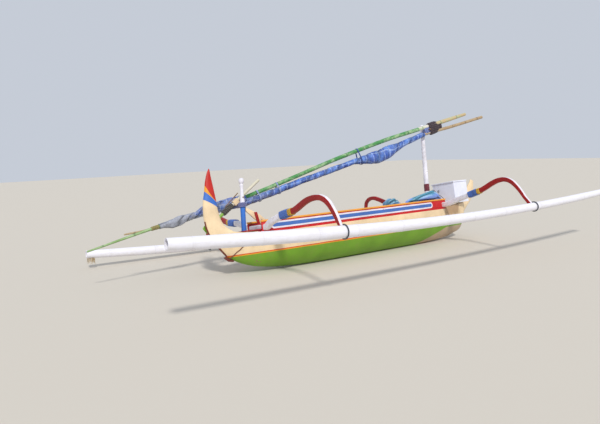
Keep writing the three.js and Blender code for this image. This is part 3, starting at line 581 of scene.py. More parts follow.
@dataclass(frozen=True)
class Bamboo(Finish):
    """Bamboo culm: fine fibres along it, dark scars at the nodes, bare or thinly painted."""

    colours: tuple[str, ...] = ("#C9AE84",)
    scar: str = "#5A4A38"
    faded: str = "#B9C9A0"
    fading: float = 0.25
    gloss: float = 0.4
    scars: float = 0.7
    fibre: float = 0.8

    def dress(self, tree: Tree) -> dict[str, Feed]:
        """Lay fading, fibres and node scars over the zones of colour."""
        zone = put(tree, "Attribute", out=2, attribute_name="zone")
        share = put(tree, "Math", {0: zone, 1: 1.0 / len(self.colours)}, operation="MULTIPLY")
        stops = [((i + 0.01) / len(self.colours), c) for i, c in enumerate(self.colours)]
        stops = stops if len(stops) > 1 else stops * 2
        base = put(tree, "ValToRGB", {0: share}, stops)
        uv = put(tree, "TexCoord", out=2)
        # Fibres 2 mm wide and 150 mm long, drawn coarser than real ones so that they show
        combed = put(tree, "Mapping", {"Vector": uv, "Scale": (6.0, 420.0, 1.0)})
        fibre = put(tree, "TexNoise", {"Vector": combed, "Scale": 1.0, "Detail": 4.0})
        blotch = put(tree, "Mapping", {"Vector": uv, "Scale": (7.0, 16.0, 1.0)})
        fade = put(tree, "TexNoise", {"Vector": blotch, "Scale": 1.0, "Detail": 6.0,
                                      "Roughness": 0.65})
        worn = put(tree, "MapRange", {"Value": fade, "From Min": 0.46, "From Max": 0.62,
                                      "To Max": self.fading})
        aged = put(tree, "Mix", {0: worn, 6: base, 7: self.faded}, **MIX)
        tone = put(tree, "MapRange", {"Value": fibre, "From Min": 0.3, "From Max": 0.7,
                                      "To Min": self.fibre, "To Max": 1.06})
        toned = put(tree, "Mix", {0: 1.0, 6: aged, 7: tone}, **MIX, blend_type="MULTIPLY")
        node = put(tree, "Attribute", out=2, attribute_name="scar")
        dark = put(tree, "Math", {0: node, 1: self.scars}, operation="MULTIPLY")
        seen = put(tree, "Mix", {0: dark, 6: toned, 7: self.scar}, **MIX)
        dull = put(tree, "MapRange", {"Value": fade, "From Min": 0.3, "From Max": 0.7,
                                      "To Min": self.gloss, "To Max": self.gloss + 0.25})
        bump = put(tree, "Bump", {"Strength": 0.3, "Distance": 0.001, "Height": fibre})
        return {"Base Color": seen, "Roughness": dull, "Normal": bump, "IOR": 1.5}


@dataclass(frozen=True)
class Rope(Finish):
    """Laid rope or cord: strands on a slant along it, fuzzy fibres, painted shade in the grooves."""

    colour: str = "#4A4A44"
    # Groove is the dark of the painted shade between the strands
    groove: str = "#242420"
    lay: float = 0.02
    strand: float = 0.012
    rough: float = 0.88

    def dress(self, tree: Tree) -> dict[str, Feed]:
        """Strands are sines of the distance along the cord plus the distance round it."""
        uv = put(tree, "TexCoord", out=2)
        along = put(tree, "SeparateXYZ", {0: uv}, out=0)
        around = put(tree, "SeparateXYZ", {0: uv}, out=1)
        first = put(tree, "Math", {0: along, 1: TURN / self.lay}, operation="MULTIPLY")
        phase = put(tree, "Math", {0: around, 1: TURN / self.strand, 2: first},
                    operation="MULTIPLY_ADD")
        wave = put(tree, "Math", {0: phase}, operation="SINE")
        height = put(tree, "MapRange", {"Value": wave, "From Min": -1.0})
        fuzz = put(tree, "TexNoise", {"Vector": uv, "Scale": 260.0, "Detail": 3.0})
        mixed = put(tree, "Math", {0: fuzz, 1: 0.5, 2: height}, operation="MULTIPLY_ADD")
        # Painted shade: groove colour between the strands, the cord's colour on their crowns
        lit = put(tree, "MapRange", {"Value": mixed, "From Min": 0.2, "From Max": 1.0})
        base = put(tree, "Mix", {0: lit, 6: self.groove, 7: self.colour}, **MIX)
        spot = self.spot(tree)
        age = put(tree, "TexNoise", {"Vector": spot, "Scale": 9.0, "Detail": 4.0})
        tone = put(tree, "MapRange", {"Value": age, "From Min": 0.3, "From Max": 0.7,
                                      "To Min": 0.75, "To Max": 1.2})
        seen = put(tree, "Mix", {0: 1.0, 6: base, 7: tone}, **MIX, blend_type="MULTIPLY")
        bump = put(tree, "Bump", {"Strength": 0.6, "Distance": 0.002, "Height": mixed})
        return {"Base Color": seen, "Normal": bump, "Roughness": self.rough, "Sheen Weight": 0.25,
                "Sheen Roughness": 0.6}


@dataclass(frozen=True)
class SailCloth(Finish):
    """Light woven plastic sheet with pale lines both ways: faint sheen, painted shade in crushed
    creases, fading.
    """

    colour: str = "#2350B4"
    second: str = "#6292E6"
    lines: str = "#A6C0F4"
    faded: str = "#A2A7B6"
    gap: tuple[float, float] = (0.118, 0.096)
    line: float = 0.13

    def dress(self, tree: Tree) -> dict[str, Feed]:
        """Lines stand where the fraction of a uv distance over its gap is small."""
        uv = put(tree, "TexCoord", out=2)
        drift = put(tree, "TexNoise", {"Vector": uv, "Scale": 5.0, "Detail": 2.0})
        level = put(tree, "Attribute", out=2, attribute_name="faded")
        spot = self.spot(tree)
        cloud = put(tree, "TexNoise", {"Vector": uv, "Scale": 9.0, "Detail": 6.0, "Roughness": 0.6})
        share = put(tree, "MapRange", {"Value": cloud, "From Min": 0.42, "From Max": 0.64})
        base = put(tree, "Mix", {0: share, 6: self.colour, 7: self.second}, **MIX)
        strength = None
        for axis, gap in enumerate(self.gap):
            at = put(tree, "SeparateXYZ", {0: uv}, out=axis)
            bent = put(tree, "Math", {0: drift, 1: 0.05, 2: at}, operation="MULTIPLY_ADD")
            scaled = put(tree, "Math", {0: bent, 1: 1 / gap}, operation="MULTIPLY")
            rest = put(tree, "Math", {0: scaled}, operation="FRACT")
            on = put(tree, "Math", {0: rest, 1: self.line}, operation="LESS_THAN")
            strength = on if strength is None else put(
                tree, "Math", {0: on, 1: strength}, operation="ADD")
        bright = put(tree, "Math", {0: strength, 1: 0.62}, operation="MULTIPLY")
        lined = put(tree, "Mix", {0: bright, 6: base, 7: self.lines}, **MIX)
        mottle = put(tree, "TexNoise", {"Vector": spot, "Scale": 16.0, "Detail": 8.0,
                                        "Roughness": 0.7})
        blot = put(tree, "MapRange", {"Value": mottle, "From Min": 0.38, "From Max": 0.55})
        worn = put(tree, "MapRange", {"Value": level, "From Min": 1.0, "From Max": 1.6})
        wash = put(tree, "Math", {0: blot, 1: level, 2: worn}, operation="MULTIPLY_ADD",
                   use_clamp=True)
        seen = put(tree, "Mix", {0: wash, 6: lined, 7: self.faded}, **MIX)
        # Weave of 4 mm, coarser than the real 1.5 mm so that it shows
        weave = put(tree, "TexChecker", {"Vector": uv, "Scale": 250.0}, out=1)
        # Painted shade: darker in creases, by noise and by the crease mark, which is deepest in folds
        # and under the ties
        creases = put(tree, "TexNoise", {"Vector": spot, "Scale": 30.0, "Detail": 6.0,
                                         "Roughness": 0.6, "Distortion": 0.8})
        depth = put(tree, "Attribute", out=2, attribute_name="crease")
        folded = put(tree, "Math", {0: depth, 1: -0.45, 2: creases}, operation="MULTIPLY_ADD")
        tone = put(tree, "MapRange", {"Value": folded, "From Min": 0.1, "From Max": 0.62,
                                      "To Min": 0.42, "To Max": 1.12})
        toned = put(tree, "Mix", {0: 1.0, 6: seen, 7: tone}, **MIX, blend_type="MULTIPLY")
        relief = put(tree, "Math", {0: weave, 1: 0.12, 2: creases}, operation="MULTIPLY_ADD")
        bump = put(tree, "Bump", {"Strength": 0.5, "Distance": 0.004, "Height": relief})
        return {"Base Color": toned, "Normal": bump, "Roughness": 0.52, "Sheen Weight": 0.3,
                "Sheen Roughness": 0.4}


@dataclass(frozen=True)
class CoverCloth(Finish):
    """Thin tarpaulin in many folds: a dye on each face, painted shade in the valleys, painted
    highlights on the ridges, fine weave.
    """

    colour: str = "#3E8CA6"
    second: str = "#7C9CEC"
    # Valley is the dark of the painted shade in the folds, ridge the pale of the painted highlight on
    # them
    valley: str = "#16243C"
    ridge: str = "#B4DCEC"

    def dress(self, tree: Tree) -> dict[str, Feed]:
        """The mark face picks the dye; the mark fold runs from 0 on a ridge to 1 in a valley, and
        paints ridges lighter as highlight and valleys darker as shade.
        """
        spot = self.spot(tree)
        face = put(tree, "Attribute", out=2, attribute_name="face")
        base = put(tree, "Mix", {0: face, 6: self.colour, 7: self.second}, **MIX)
        fold = put(tree, "Attribute", out=2, attribute_name="fold")
        creases = put(tree, "TexNoise", {"Vector": spot, "Scale": 26.0, "Detail": 6.0,
                                         "Roughness": 0.6, "Distortion": 1.0})
        fold_shading = put(tree, "Math", {0: creases, 1: 0.5, 2: fold}, operation="MULTIPLY_ADD")
        # Painted highlight where the fold mark is low
        high = put(tree, "MapRange", {"Value": fold_shading, "From Min": 0.36, "From Max": 0.22,
                                      "To Max": 0.6})
        bright = put(tree, "Mix", {0: high, 6: base, 7: self.ridge}, **MIX)
        # Painted shade where the fold mark is high
        low = put(tree, "MapRange", {"Value": fold_shading, "From Min": 0.72, "From Max": 1.05,
                                     "To Max": 0.85})
        seen = put(tree, "Mix", {0: low, 6: bright, 7: self.valley}, **MIX)
        uv = put(tree, "TexCoord", out=2)
        # Weave of 3 mm, coarser than the real 1 mm so that it shows
        weave = put(tree, "TexChecker", {"Vector": uv, "Scale": 330.0}, out=1)
        relief = put(tree, "Math", {0: weave, 1: 0.1, 2: creases}, operation="MULTIPLY_ADD")
        bump = put(tree, "Bump", {"Strength": 0.5, "Distance": 0.004, "Height": relief})
        return {"Base Color": seen, "Normal": bump, "Roughness": 0.72, "Sheen Weight": 0.35}


@dataclass(frozen=True)
class BareTimber(Finish):
    """Weathered unpainted wood: grain of 5 mm along X, grey and brown bands, dry and matt."""

    colour: str = "#9A7A58"
    dark: str = "#5E4A36"
    comb: tuple[float, float, float] = (4.0, 160.0, 160.0)

    def dress(self, tree: Tree) -> dict[str, Feed]:
        """Grain is noise drawn out along the piece."""
        spot = self.spot(tree)
        combed = put(tree, "Mapping", {"Vector": spot, "Scale": self.comb})
        grain = put(tree, "TexNoise", {"Vector": combed, "Scale": 1.0, "Detail": 6.0,
                                       "Roughness": 0.62, "Distortion": 0.5})
        lit = put(tree, "MapRange", {"Value": grain, "From Min": 0.34, "From Max": 0.64})
        seen = put(tree, "Mix", {0: lit, 6: self.dark, 7: self.colour}, **MIX)
        bump = put(tree, "Bump", {"Strength": 0.5, "Distance": 0.0015, "Height": grain})
        return {"Base Color": seen, "Normal": bump, "Roughness": 0.8}


CREAM = Enamel("Cream oil enamel", "#F4DAB2", chips=0.35, soil=0.2, stain="#A08A6C")
RED = Enamel("Red oil enamel", "#A80C16", chips=0.4, soil=0.25)
ORANGE = Enamel("Orange oil enamel", "#F4A640", chips=0.5, soil=0.3)
WHITE = Enamel("White oil enamel", "#F2F0FA", chips=0.3, soil=0.35)
LOCKER_WHITE = Enamel("White locker enamel", "#EEF0FF", chips=0.15, soil=0.07, gloss=0.34)
HULL_PAINT = HullEnamel("Dugout oil enamel", "#F4DAB2", chips=0.3, soil=0.2, stain="#A08A6C")
STRAKE_PAINT = StrakeEnamel("Washstrake oil enamel", "#CC1620", chips=0.35, soil=0.25)
MAROON = Enamel("Maroon oil enamel", "#6E2A24", chips=0.6, soil=0.5)
TIMBER = BareTimber("Weathered timber")


def smooth(mesh: bpy.types.Mesh, sharp: float) -> bpy.types.Mesh:
    """Shade a mesh smooth but for edges past an angle in degrees."""
    mesh.polygons.foreach_set("use_smooth", np.ones(len(mesh.polygons), bool))
    mesh.set_sharp_from_angle(angle=math.radians(sharp))
    return mesh


def mesh_of(name: str, patch: Patch, sharp: float) -> bpy.types.Mesh:
    """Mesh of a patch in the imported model's axes."""
    mesh = bpy.data.meshes.new(name)
    mesh.from_pydata(lean(patch.points).tolist(), [], patch.quads.tolist() + patch.tris.tolist())
    layer = mesh.uv_layers.new(name="UVMap")
    uvs = np.concatenate([patch.quad_uv.reshape(-1), patch.tri_uv.reshape(-1)])
    layer.data.foreach_set("uv", uvs)
    for mark, values in patch.marks.items():
        mesh.attributes.new(mark, "FLOAT", "POINT").data.foreach_set("value", values)
    mesh.update()
    return smooth(mesh, sharp)


def show(name: str, data: bpy.types.ID) -> bpy.types.Object:
    """Put data in the scene as an object."""
    shown = bpy.data.objects.new(name, data)
    bpy.context.scene.collection.objects.link(shown)
    return shown


def settle(name: str, mesh: bpy.types.Mesh, finish: Finish, body: str,
           nodes: tuple[str, ...]) -> bpy.types.Object:
    """Make a mesh a piece: finish it, let it ride on its body, and name the nodes it replaces.

    Args:
        name: Name of the piece.
        mesh: Its mesh, in place.
        finish: Its finish.
        body: The body that it moves with.
        nodes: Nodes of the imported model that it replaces.

    Returns:
        The piece.
    """
    piece = show(name, mesh)
    mesh.materials.clear()
    mesh.materials.append(made(finish))
    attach(piece, body)
    if nodes:
        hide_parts(*nodes)
    LOG.info("%s: %d faces on %s", name, len(mesh.polygons), body)
    return piece


def place(name: str, patch: Patch, finish: Finish, body: str = "boat",
          nodes: tuple[str, ...] = (), sharp: float = 42.0) -> bpy.types.Object:
    """Make a patch a piece; see settle()."""
    return settle(name, mesh_of(name, patch, sharp), finish, body, nodes)


def soften(name: str, node: str, finish: Finish, body: str = "boat",
           width: float = 0.004) -> bpy.types.Object:
    """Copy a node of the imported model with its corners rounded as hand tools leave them.

    Args:
        name: Name of the piece.
        node: Node to copy and replace.
        finish: Its finish.
        body: The body that it moves with.
        width: Width of the rounding.

    Returns:
        The piece.
    """
    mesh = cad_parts[node].data.copy()
    shape = bmesh.new()
    shape.from_mesh(mesh)
    bmesh.ops.remove_doubles(shape, verts=shape.verts, dist=1e-5)
    bmesh.ops.dissolve_limit(shape, angle_limit=math.radians(1), verts=shape.verts,
                             edges=shape.edges)
    corners = [e for e in shape.edges if e.is_manifold and e.calc_face_angle() > math.radians(28)]
    bmesh.ops.bevel(shape, geom=corners, offset=width, segments=3, profile=0.5, affect="EDGES",
                    clamp_overlap=True)
    bmesh.ops.triangulate(shape, faces=[f for f in shape.faces if len(f.verts) > 4])
    shape.to_mesh(mesh)
    shape.free()
    return settle(name, smooth(mesh, 36), finish, body, (node,))


@dataclass
class Stage:
    """Floor, soft light and the camera at the photograph's place."""

    camera_at: tuple[float, float, float] = (-5.2497, -6.4178, 1.6534)
    ahead: tuple[float, float, float] = (0.53864, 0.83466, -0.11497)
    right: tuple[float, float, float] = (0.83718, -0.54557, -0.03856)
    above: tuple[float, float, float] = (0.09491, 0.07548, 0.99262)
    lens: float = 31.2226
    sun: tuple[float, float, float] = (-0.2297, -0.6659, 0.7099)
    sun_strength: float = 2.15
    sun_spread: float = math.radians(6)
    sun_colour: tuple[float, float, float] = (1.0, 0.965, 0.91)
    floor_size: float = 90.0
    floor_z: float = -0.002
    floor_colour: str = "#D2CBBF"
    sky_colour: str = "#DDE4F0"
    sky_strength: float = 0.78

    def add_floor(self) -> None:
        """Plain pale floor under the keel and the port float."""
        far, z = self.floor_size / 2, self.floor_z
        corners = [(-far, -far, z), (far, -far, z), (far, far, z), (-far, far, z)]
        mesh = bpy.data.meshes.new("floor")
        mesh.from_pydata(corners, [], [(0, 1, 2, 3)])
        floor = show("floor", mesh)
        material = bpy.data.materials.new("Pale floor")
        material.use_nodes = True
        feed(material.node_tree, material.node_tree.nodes["Principled BSDF"],
             {"Base Color": self.floor_colour, "Roughness": 0.9})
        mesh.materials.append(material)

    def add_light(self) -> None:
        """One broad soft sun behind the camera's shoulder, and a pale sky."""
        lamp = bpy.data.lights.new("key", "SUN")
        lamp.energy = self.sun_strength
        lamp.angle = self.sun_spread
        lamp.color = self.sun_colour
        key = show("key", lamp)
        back = unit(np.array(self.sun))
        side = unit(np.cross(UP, back))
        turn = np.stack([side, np.cross(back, side), back], 1)
        key.matrix_world = Matrix(turn.tolist()).to_4x4()
        world = bpy.data.worlds.new("sky")
        bpy.context.scene.world = world
        world.use_nodes = True
        feed(world.node_tree, world.node_tree.nodes["Background"],
             {"Color": self.sky_colour, "Strength": self.sky_strength})

    def add_camera(self) -> None:
        """Camera as worked out from the photograph."""
        lens = bpy.data.cameras.new("camera")
        lens.lens = self.lens
        lens.sensor_width = 36.0
        lens.clip_end = 200.0
        camera = show("camera", lens)
        turn = np.stack([self.right, self.above, -np.array(self.ahead)], 1)
        camera.matrix_world = Matrix.Translation(self.camera_at) @ Matrix(turn.tolist()).to_4x4()
        bpy.context.scene.camera = camera

    def build(self) -> None:
        """Camera, floor and light, without a film curve so that the paint keeps its depth."""
        bpy.context.scene.view_settings.view_transform = "Standard"
        self.add_camera()
        self.add_floor()
        self.add_light()


@dataclass
class Boom:
    """Line of one boom: a beam across the hull and a grown crook down to the float on each side."""

    name: str
    x: float
    rows: Array
    beam_end: float
    band: tuple[float, float]
    whipping: tuple[float, float]
    foot_in: float
    rise: float = 0.0
    reach: float = 0.0
    # Share of the port crook's extra reach and rise: y, share
    share: Array = listed(
        (1.01, 0.0), (1.23, 0.5), (1.45, 1.0), (1.65, 1.0), (1.78, 0.5), (1.9, 0.0), size=1.0)

    def line(self, ys: Array) -> tuple[Array, Array]:
        """Points and half sizes at signed distances from the middle."""
        level = glide(self.rows, np.abs(ys))
        share = np.where(ys > 0, glide(self.share, np.abs(ys))[:, 0], 0.0)
        path = np.stack([np.full_like(ys, self.x), ys + self.reach * share,
                         level[:, 0] + self.rise * share], -1)
        return path, level[:, 1:]


@dataclass
class Plan:
    """Shapes that several sub-assemblies share: the hull's plan, its booms and its floats."""

    mid_x: float = 2.4
    half_length: float = 2.6
    half_beam: float = 0.33
    power: float = 3.5
    sides: tuple[tuple[str, float], ...] = (("port", 1.0), ("starboard", -1.0))
    float_y: float = 1.934
    float_low: tuple[float, float] = (2.9, 0.303)
    float_bend: float = 8.8e-3
    # Boom rows: y, z, half width, half height
    booms: tuple[Boom, ...] = field(default_factory=lambda: (
        Boom("rear", 0.547, table([
            (0, 522.3, 45, 42), (230, 522.3, 45, 42), (393, 582, 44, 42), (510, 607, 43, 41),
            (651, 635, 42, 40), (800, 655, 40, 39), (968, 672, 36, 37), (1081, 697, 34, 36),
            (1192, 733, 32, 36), (1299, 763, 30, 36), (1399, 780, 29, 35), (1496, 784, 28, 35),
            (1600, 775, 27, 35), (1690, 742, 26, 36), (1765, 685, 26, 36), (1815, 622, 25, 34),
            (1854, 560, 24, 32), (1890, 492, 23, 28)]),
            beam_end=0.8, band=(0.705, 0.895), whipping=(0.9, 0.972), foot_in=0.012),
        Boom("front", 4.056, table([
            (0, 522.3, 45, 42), (300, 522.3, 45, 42), (600, 575, 43, 40), (900, 634, 40, 38),
            (1088, 672, 37, 38), (1188, 706, 34, 38), (1309, 752, 32, 38), (1423, 779, 31, 37),
            (1500, 783, 30, 36), (1577, 767, 30, 35), (1650, 725, 29, 33), (1715, 656, 28, 30),
            (1780, 562, 27, 27), (1827, 475, 25, 24)]),
            beam_end=0.92, band=(0.845, 1.01), whipping=(1.015, 1.07), foot_in=0.03,
            rise=0.062, reach=0.11)))
    # Float: x, radius
    float_radii: Array = listed(
        (-1420, 60), (-900, 68), (0, 74), (700, 72), (2700, 62), (5400, 58), (6374, 46))

    def half_breadth(self, x: Array) -> Array:
        """Half breadth at the sheer: half the beam times 1 - (share of the way out) ** power."""
        return self.half_beam * (1 - (np.abs(x - self.mid_x) / self.half_length) ** self.power)

    def float_z(self, x: Array) -> Array:
        """Height of a float's line, a parabola with its lowest point amidships."""
        return self.float_low[1] + self.float_bend * (x - self.float_low[0]) ** 2

    def float_radius(self, x: Array) -> Array:
        """Radius of a float along its length."""
        return np.interp(x, self.float_radii[:, 0], self.float_radii[:, 1])


def fullness(t: Array) -> Array:
    """Share of the half breadth at a height, from t = 0 at the keel to t = 1 at the sheer."""
    return (1 - (1 - t) ** 2.4) ** 0.6


def horn(rows: Array, parts: int, sides: int) -> tuple[Array, Array, Array]:
    """Grid of a body whose section runs from an edge below or aft to one above or ahead.

    A point's place between the two edges is t, and its breadth is the half breadth times a blend of
    fullness(t) and a lens, the root of 1 - (2 t - 1) squared.

    Args:
        rows: Table of the first edge's x and z, the second edge's x and z, half breadth, roundness.
        parts: Smooth rows to each stretch of the table.
        sides: Steps on each side of the section.

    Returns:
        The grid, the place t of each column, and the number of each row in the table.
    """
    fine = refine(rows, parts)
    t = (0.5 - 0.5 * np.cos(math.pi * np.linspace(0, 1, sides + 1)))[None]
    x0, z0, x1, z1, half, blend = (fine[:, k:k + 1] for k in range(6))
    lens = np.sqrt(np.maximum(0.0, 1 - (2 * t - 1) ** 2))
    y = np.maximum(half * (fullness(t) * (1 - blend) + lens * blend), 0.002)
    port = np.stack([x0 + (x1 - x0) * t, y, z0 + (z1 - z0) * t], -1)
    starboard = port[:, ::-1] * np.array([1.0, -1.0, 1.0])
    grid = np.concatenate([port, starboard], 1)
    number = np.linspace(0, len(rows) - 1, len(fine))[:, None]
    return grid, np.concatenate([t, t[:, ::-1]], 1), number


@dataclass
class Dugout:
    """Hollowed log with its carved stern neck and finial, its bow stem and its jaw."""

    plan: Plan
    wall: float = 0.034
    floor: float = 0.055
    well: tuple[float, float] = (0.24, 4.3)
    # Height of the sheer amidships, and how far above it the inside would reach its full breadth
    sheer: float = 0.48
    flare: float = 0.09
    # Keel x, keel z, sheer x, sheer z
    stations: Array = listed(
        (0, 190, 105, 519), (200, 75, 240, 490), (420, 0, 430, 480), (800, -58, 800, 480),
        (1400, -85, 1400, 480), (2000, -89, 2000, 480), (2800, -89, 2800, 480),
        (3600, -89, 3600, 480), (4120, -64, 4120, 480), (4350, -40, 4350, 490),
        (4500, 0, 4500, 500))
    # Aft edge x, z, fore edge x, z, half thickness, roundness (this one times MM)
    neck: Array = listed(
        (0, 190, 105, 519, 83, 0), (-69, 281, 60, 575, 92, 500), (-154, 410, 17, 639, 72, 900),
        (-218, 531, -10, 705, 60, 1000), (-245, 650, -24, 765, 54, 1000),
        (-251, 760, -31, 810, 50, 1000), (-244, 880, -36, 840, 47, 1000),
        (-227, 989, -37, 868, 45, 1000))
    finial: Array = listed(
        (-227, 989, -37, 868, 45, 1000), (-200, 1081, -42, 960, 38, 1000),
        (-170, 1220, -58, 1130, 27, 1000), (-122, 1355, -76, 1300, 14, 1000),
        (-92, 1405, -82, 1392, 5, 1000))
    stem: Array = listed(
        (4500, 0, 4500, 500, 174, 0), (4640, 40, 4715, 512, 130, 100),
        (4800, 308, 4810, 575, 92, 300), (4950, 440, 4935, 700, 64, 500),
        (5080, 547, 5035, 800, 44, 700), (5200, 750, 5125, 880, 27, 800),
        (5240, 898, 5160, 932, 12, 800))
    # Cord stapled to the starboard quarter from the jaw up: x, y, z
    jaw_cord: Array = listed(
        (38, -24, 150), (46, -34, 162), (79, -62, 190), (126, -103, 236), (165, -123, 261),
        (196, -139, 291), (219, -148, 306), (236, -155, 322))

    def shell(self) -> Patch:
        """Hull: each section runs up the outside, over the rim and down the inside, and mirrors."""
        fine = refine(self.stations, 8)
        keel_x, keel_z, x, z = (fine[:, k:k + 1] for k in range(4))
        t = (1 - np.cos(math.pi / 2 * np.linspace(0, 1, 25)))[None]
        half = self.plan.half_breadth(x)
        outer = np.stack([keel_x + (x - keel_x) * t, np.maximum(half * fullness(t), 0.002),
                          keel_z + (z - keel_z) * t], -1)
        q = np.linspace(1, 0, 21)[None]
        top = self.sheer + self.flare
        low = keel_z + self.floor
        share = ease((x - self.well[0]) / 0.03) * ease((self.well[1] - x) / 0.03)
        height = low + (np.minimum(z, self.sheer) - low) * q
        breadth = (half - self.wall) * fullness(np.clip((height - low) / (top - low), 0, 1))
        breadth = np.where(share > 0.5, breadth, (half - self.wall) * q)
        drop = z - share * (z - height)
        inner = np.stack([x + 0 * q, np.maximum(breadth, 0.0015), drop], -1)
        port = np.concatenate([outer, inner], 1)
        grid = np.concatenate([port, port[:, ::-1] * np.array([1.0, -1.0, 1.0])], 1)
        inside = np.concatenate([0 * t[0], 0 * q[0] + 1])
        return surface(grid, marks={"inside": np.concatenate([inside, inside[::-1]])[None]})

    def build(self) -> None:
        """Hull, neck, finial, stem and jaw."""
        place("hull_shell", self.shell(), HULL_PAINT, nodes=("hull",))
        self.neck[0, 4] = self.plan.half_breadth(self.neck[0, 2])
        grid, t, number = horn(self.neck, 10, 18)
        edge = ease((0.055 - t) / 0.02) * ease((4.6 - number) / 0.4)
        coat = BandedEnamel("Neck oil enamel", soil=0.18, chips=0.3, stain="#A08A6C", mark="edge",
                            stops=((0.0, "#F4DAB2"), (0.5, "#7C3A2A")))
        place("neck_carving", surface(grid, marks={"edge": edge}), coat,
              nodes=("stern_neck",))
        grid, t, number = horn(self.finial, 16, 14)
        lower = 1.14 - 0.32 * t
        upper = np.maximum(1.7 - 1.04 * t, lower)
        tongue = (0.5 + np.clip((number - lower) * 8, -0.5, 0.5)
                  + np.clip((number - upper) * 8 + 0.5, 0, 1))
        coat = BandedEnamel("Finial oil enamel", soil=0.15, chips=0.3, mark="tongue", high=2.0,
                            stops=((0.0, "#3F74CC"), (0.5, "#F2A42C"), (1.5, "#C82820")))
        place("finial_carving", surface(grid, marks={"tongue": tongue}), coat,
              nodes=("neck_finial",))
        self.stem[0, 4] = self.plan.half_breadth(self.stem[0, 0])
        grid, _, _ = horn(self.stem, 12, 20)
        place("stem_carving", surface(grid), HULL_PAINT, nodes=("bow_stem",))
        soften("jaw_carving", "stern_jaw", MAROON)
        cord = Rope("Brown jaw cord", "#8A4A34", "#40201A", lay=0.02, strand=0.01)
        place("jaw_cord_line", tube(refine(self.jaw_cord, 6), 0.0065, sides=8), cord)


@dataclass
class Topsides:
    """Washstrakes with their caps, decks and thwarts."""

    plan: Plan
    ends: tuple[float, float] = (0.49, 4.12)
    sheer: float = 0.4803
    top: float = 0.6
    thick: float = 0.022
    cap: tuple[float, float] = (0.04, 0.025)
    overhang: float = 0.009
    boards: tuple[tuple[str, str], ...] = (
        ("aft_deck", "red"), ("thwart_aft", "red"), ("thwart_middle", "red"),
        ("thwart_fore", "red"), ("mast_thwart", "red"), ("bow_deck", "cream"))

    def board(self, side: float, middle: float, half: tuple[float, float], z: float) -> Patch:
        """Board bent to the plan: a rounded section along the side, marked on its inner half."""
        x = np.linspace(*self.ends, 90)
        y = self.plan.half_breadth(x) - middle
        path = np.stack([x, side * y, np.full_like(x, z)], -1)
        shape = oval(36, 7.0) * np.array(half)
        across = shape[:, 0] * -side
        inside = np.broadcast_to((across < -half[0] * 0.6).astype(float), (len(x), 36))
        return surface(carry(path, shape), marks={"inside": inside})

    def build(self) -> None:
        """Strakes and caps on both sides, then the boards across."""
        for name, side in self.plan.sides:
            tall = self.top - self.sheer
            strake = self.board(side, self.thick / 2, (self.thick / 2, tall / 2),
                                self.sheer + tall / 2)
            place(f"strake_{name}", strake, STRAKE_PAINT,
                  nodes=(f"washstrake_{name}",))
            wide, high = self.cap
            cap = self.board(side, wide / 2 - self.overhang, (wide / 2, high / 2),
                             self.top + SEAM + high / 2)
            place(f"cap_{name}", cap, ORANGE, nodes=(f"rail_cap_{name}",))
        for node, paint in self.boards:
            finish = RED if paint == "red" else CREAM
            soften(f"{node}_board", node, finish)


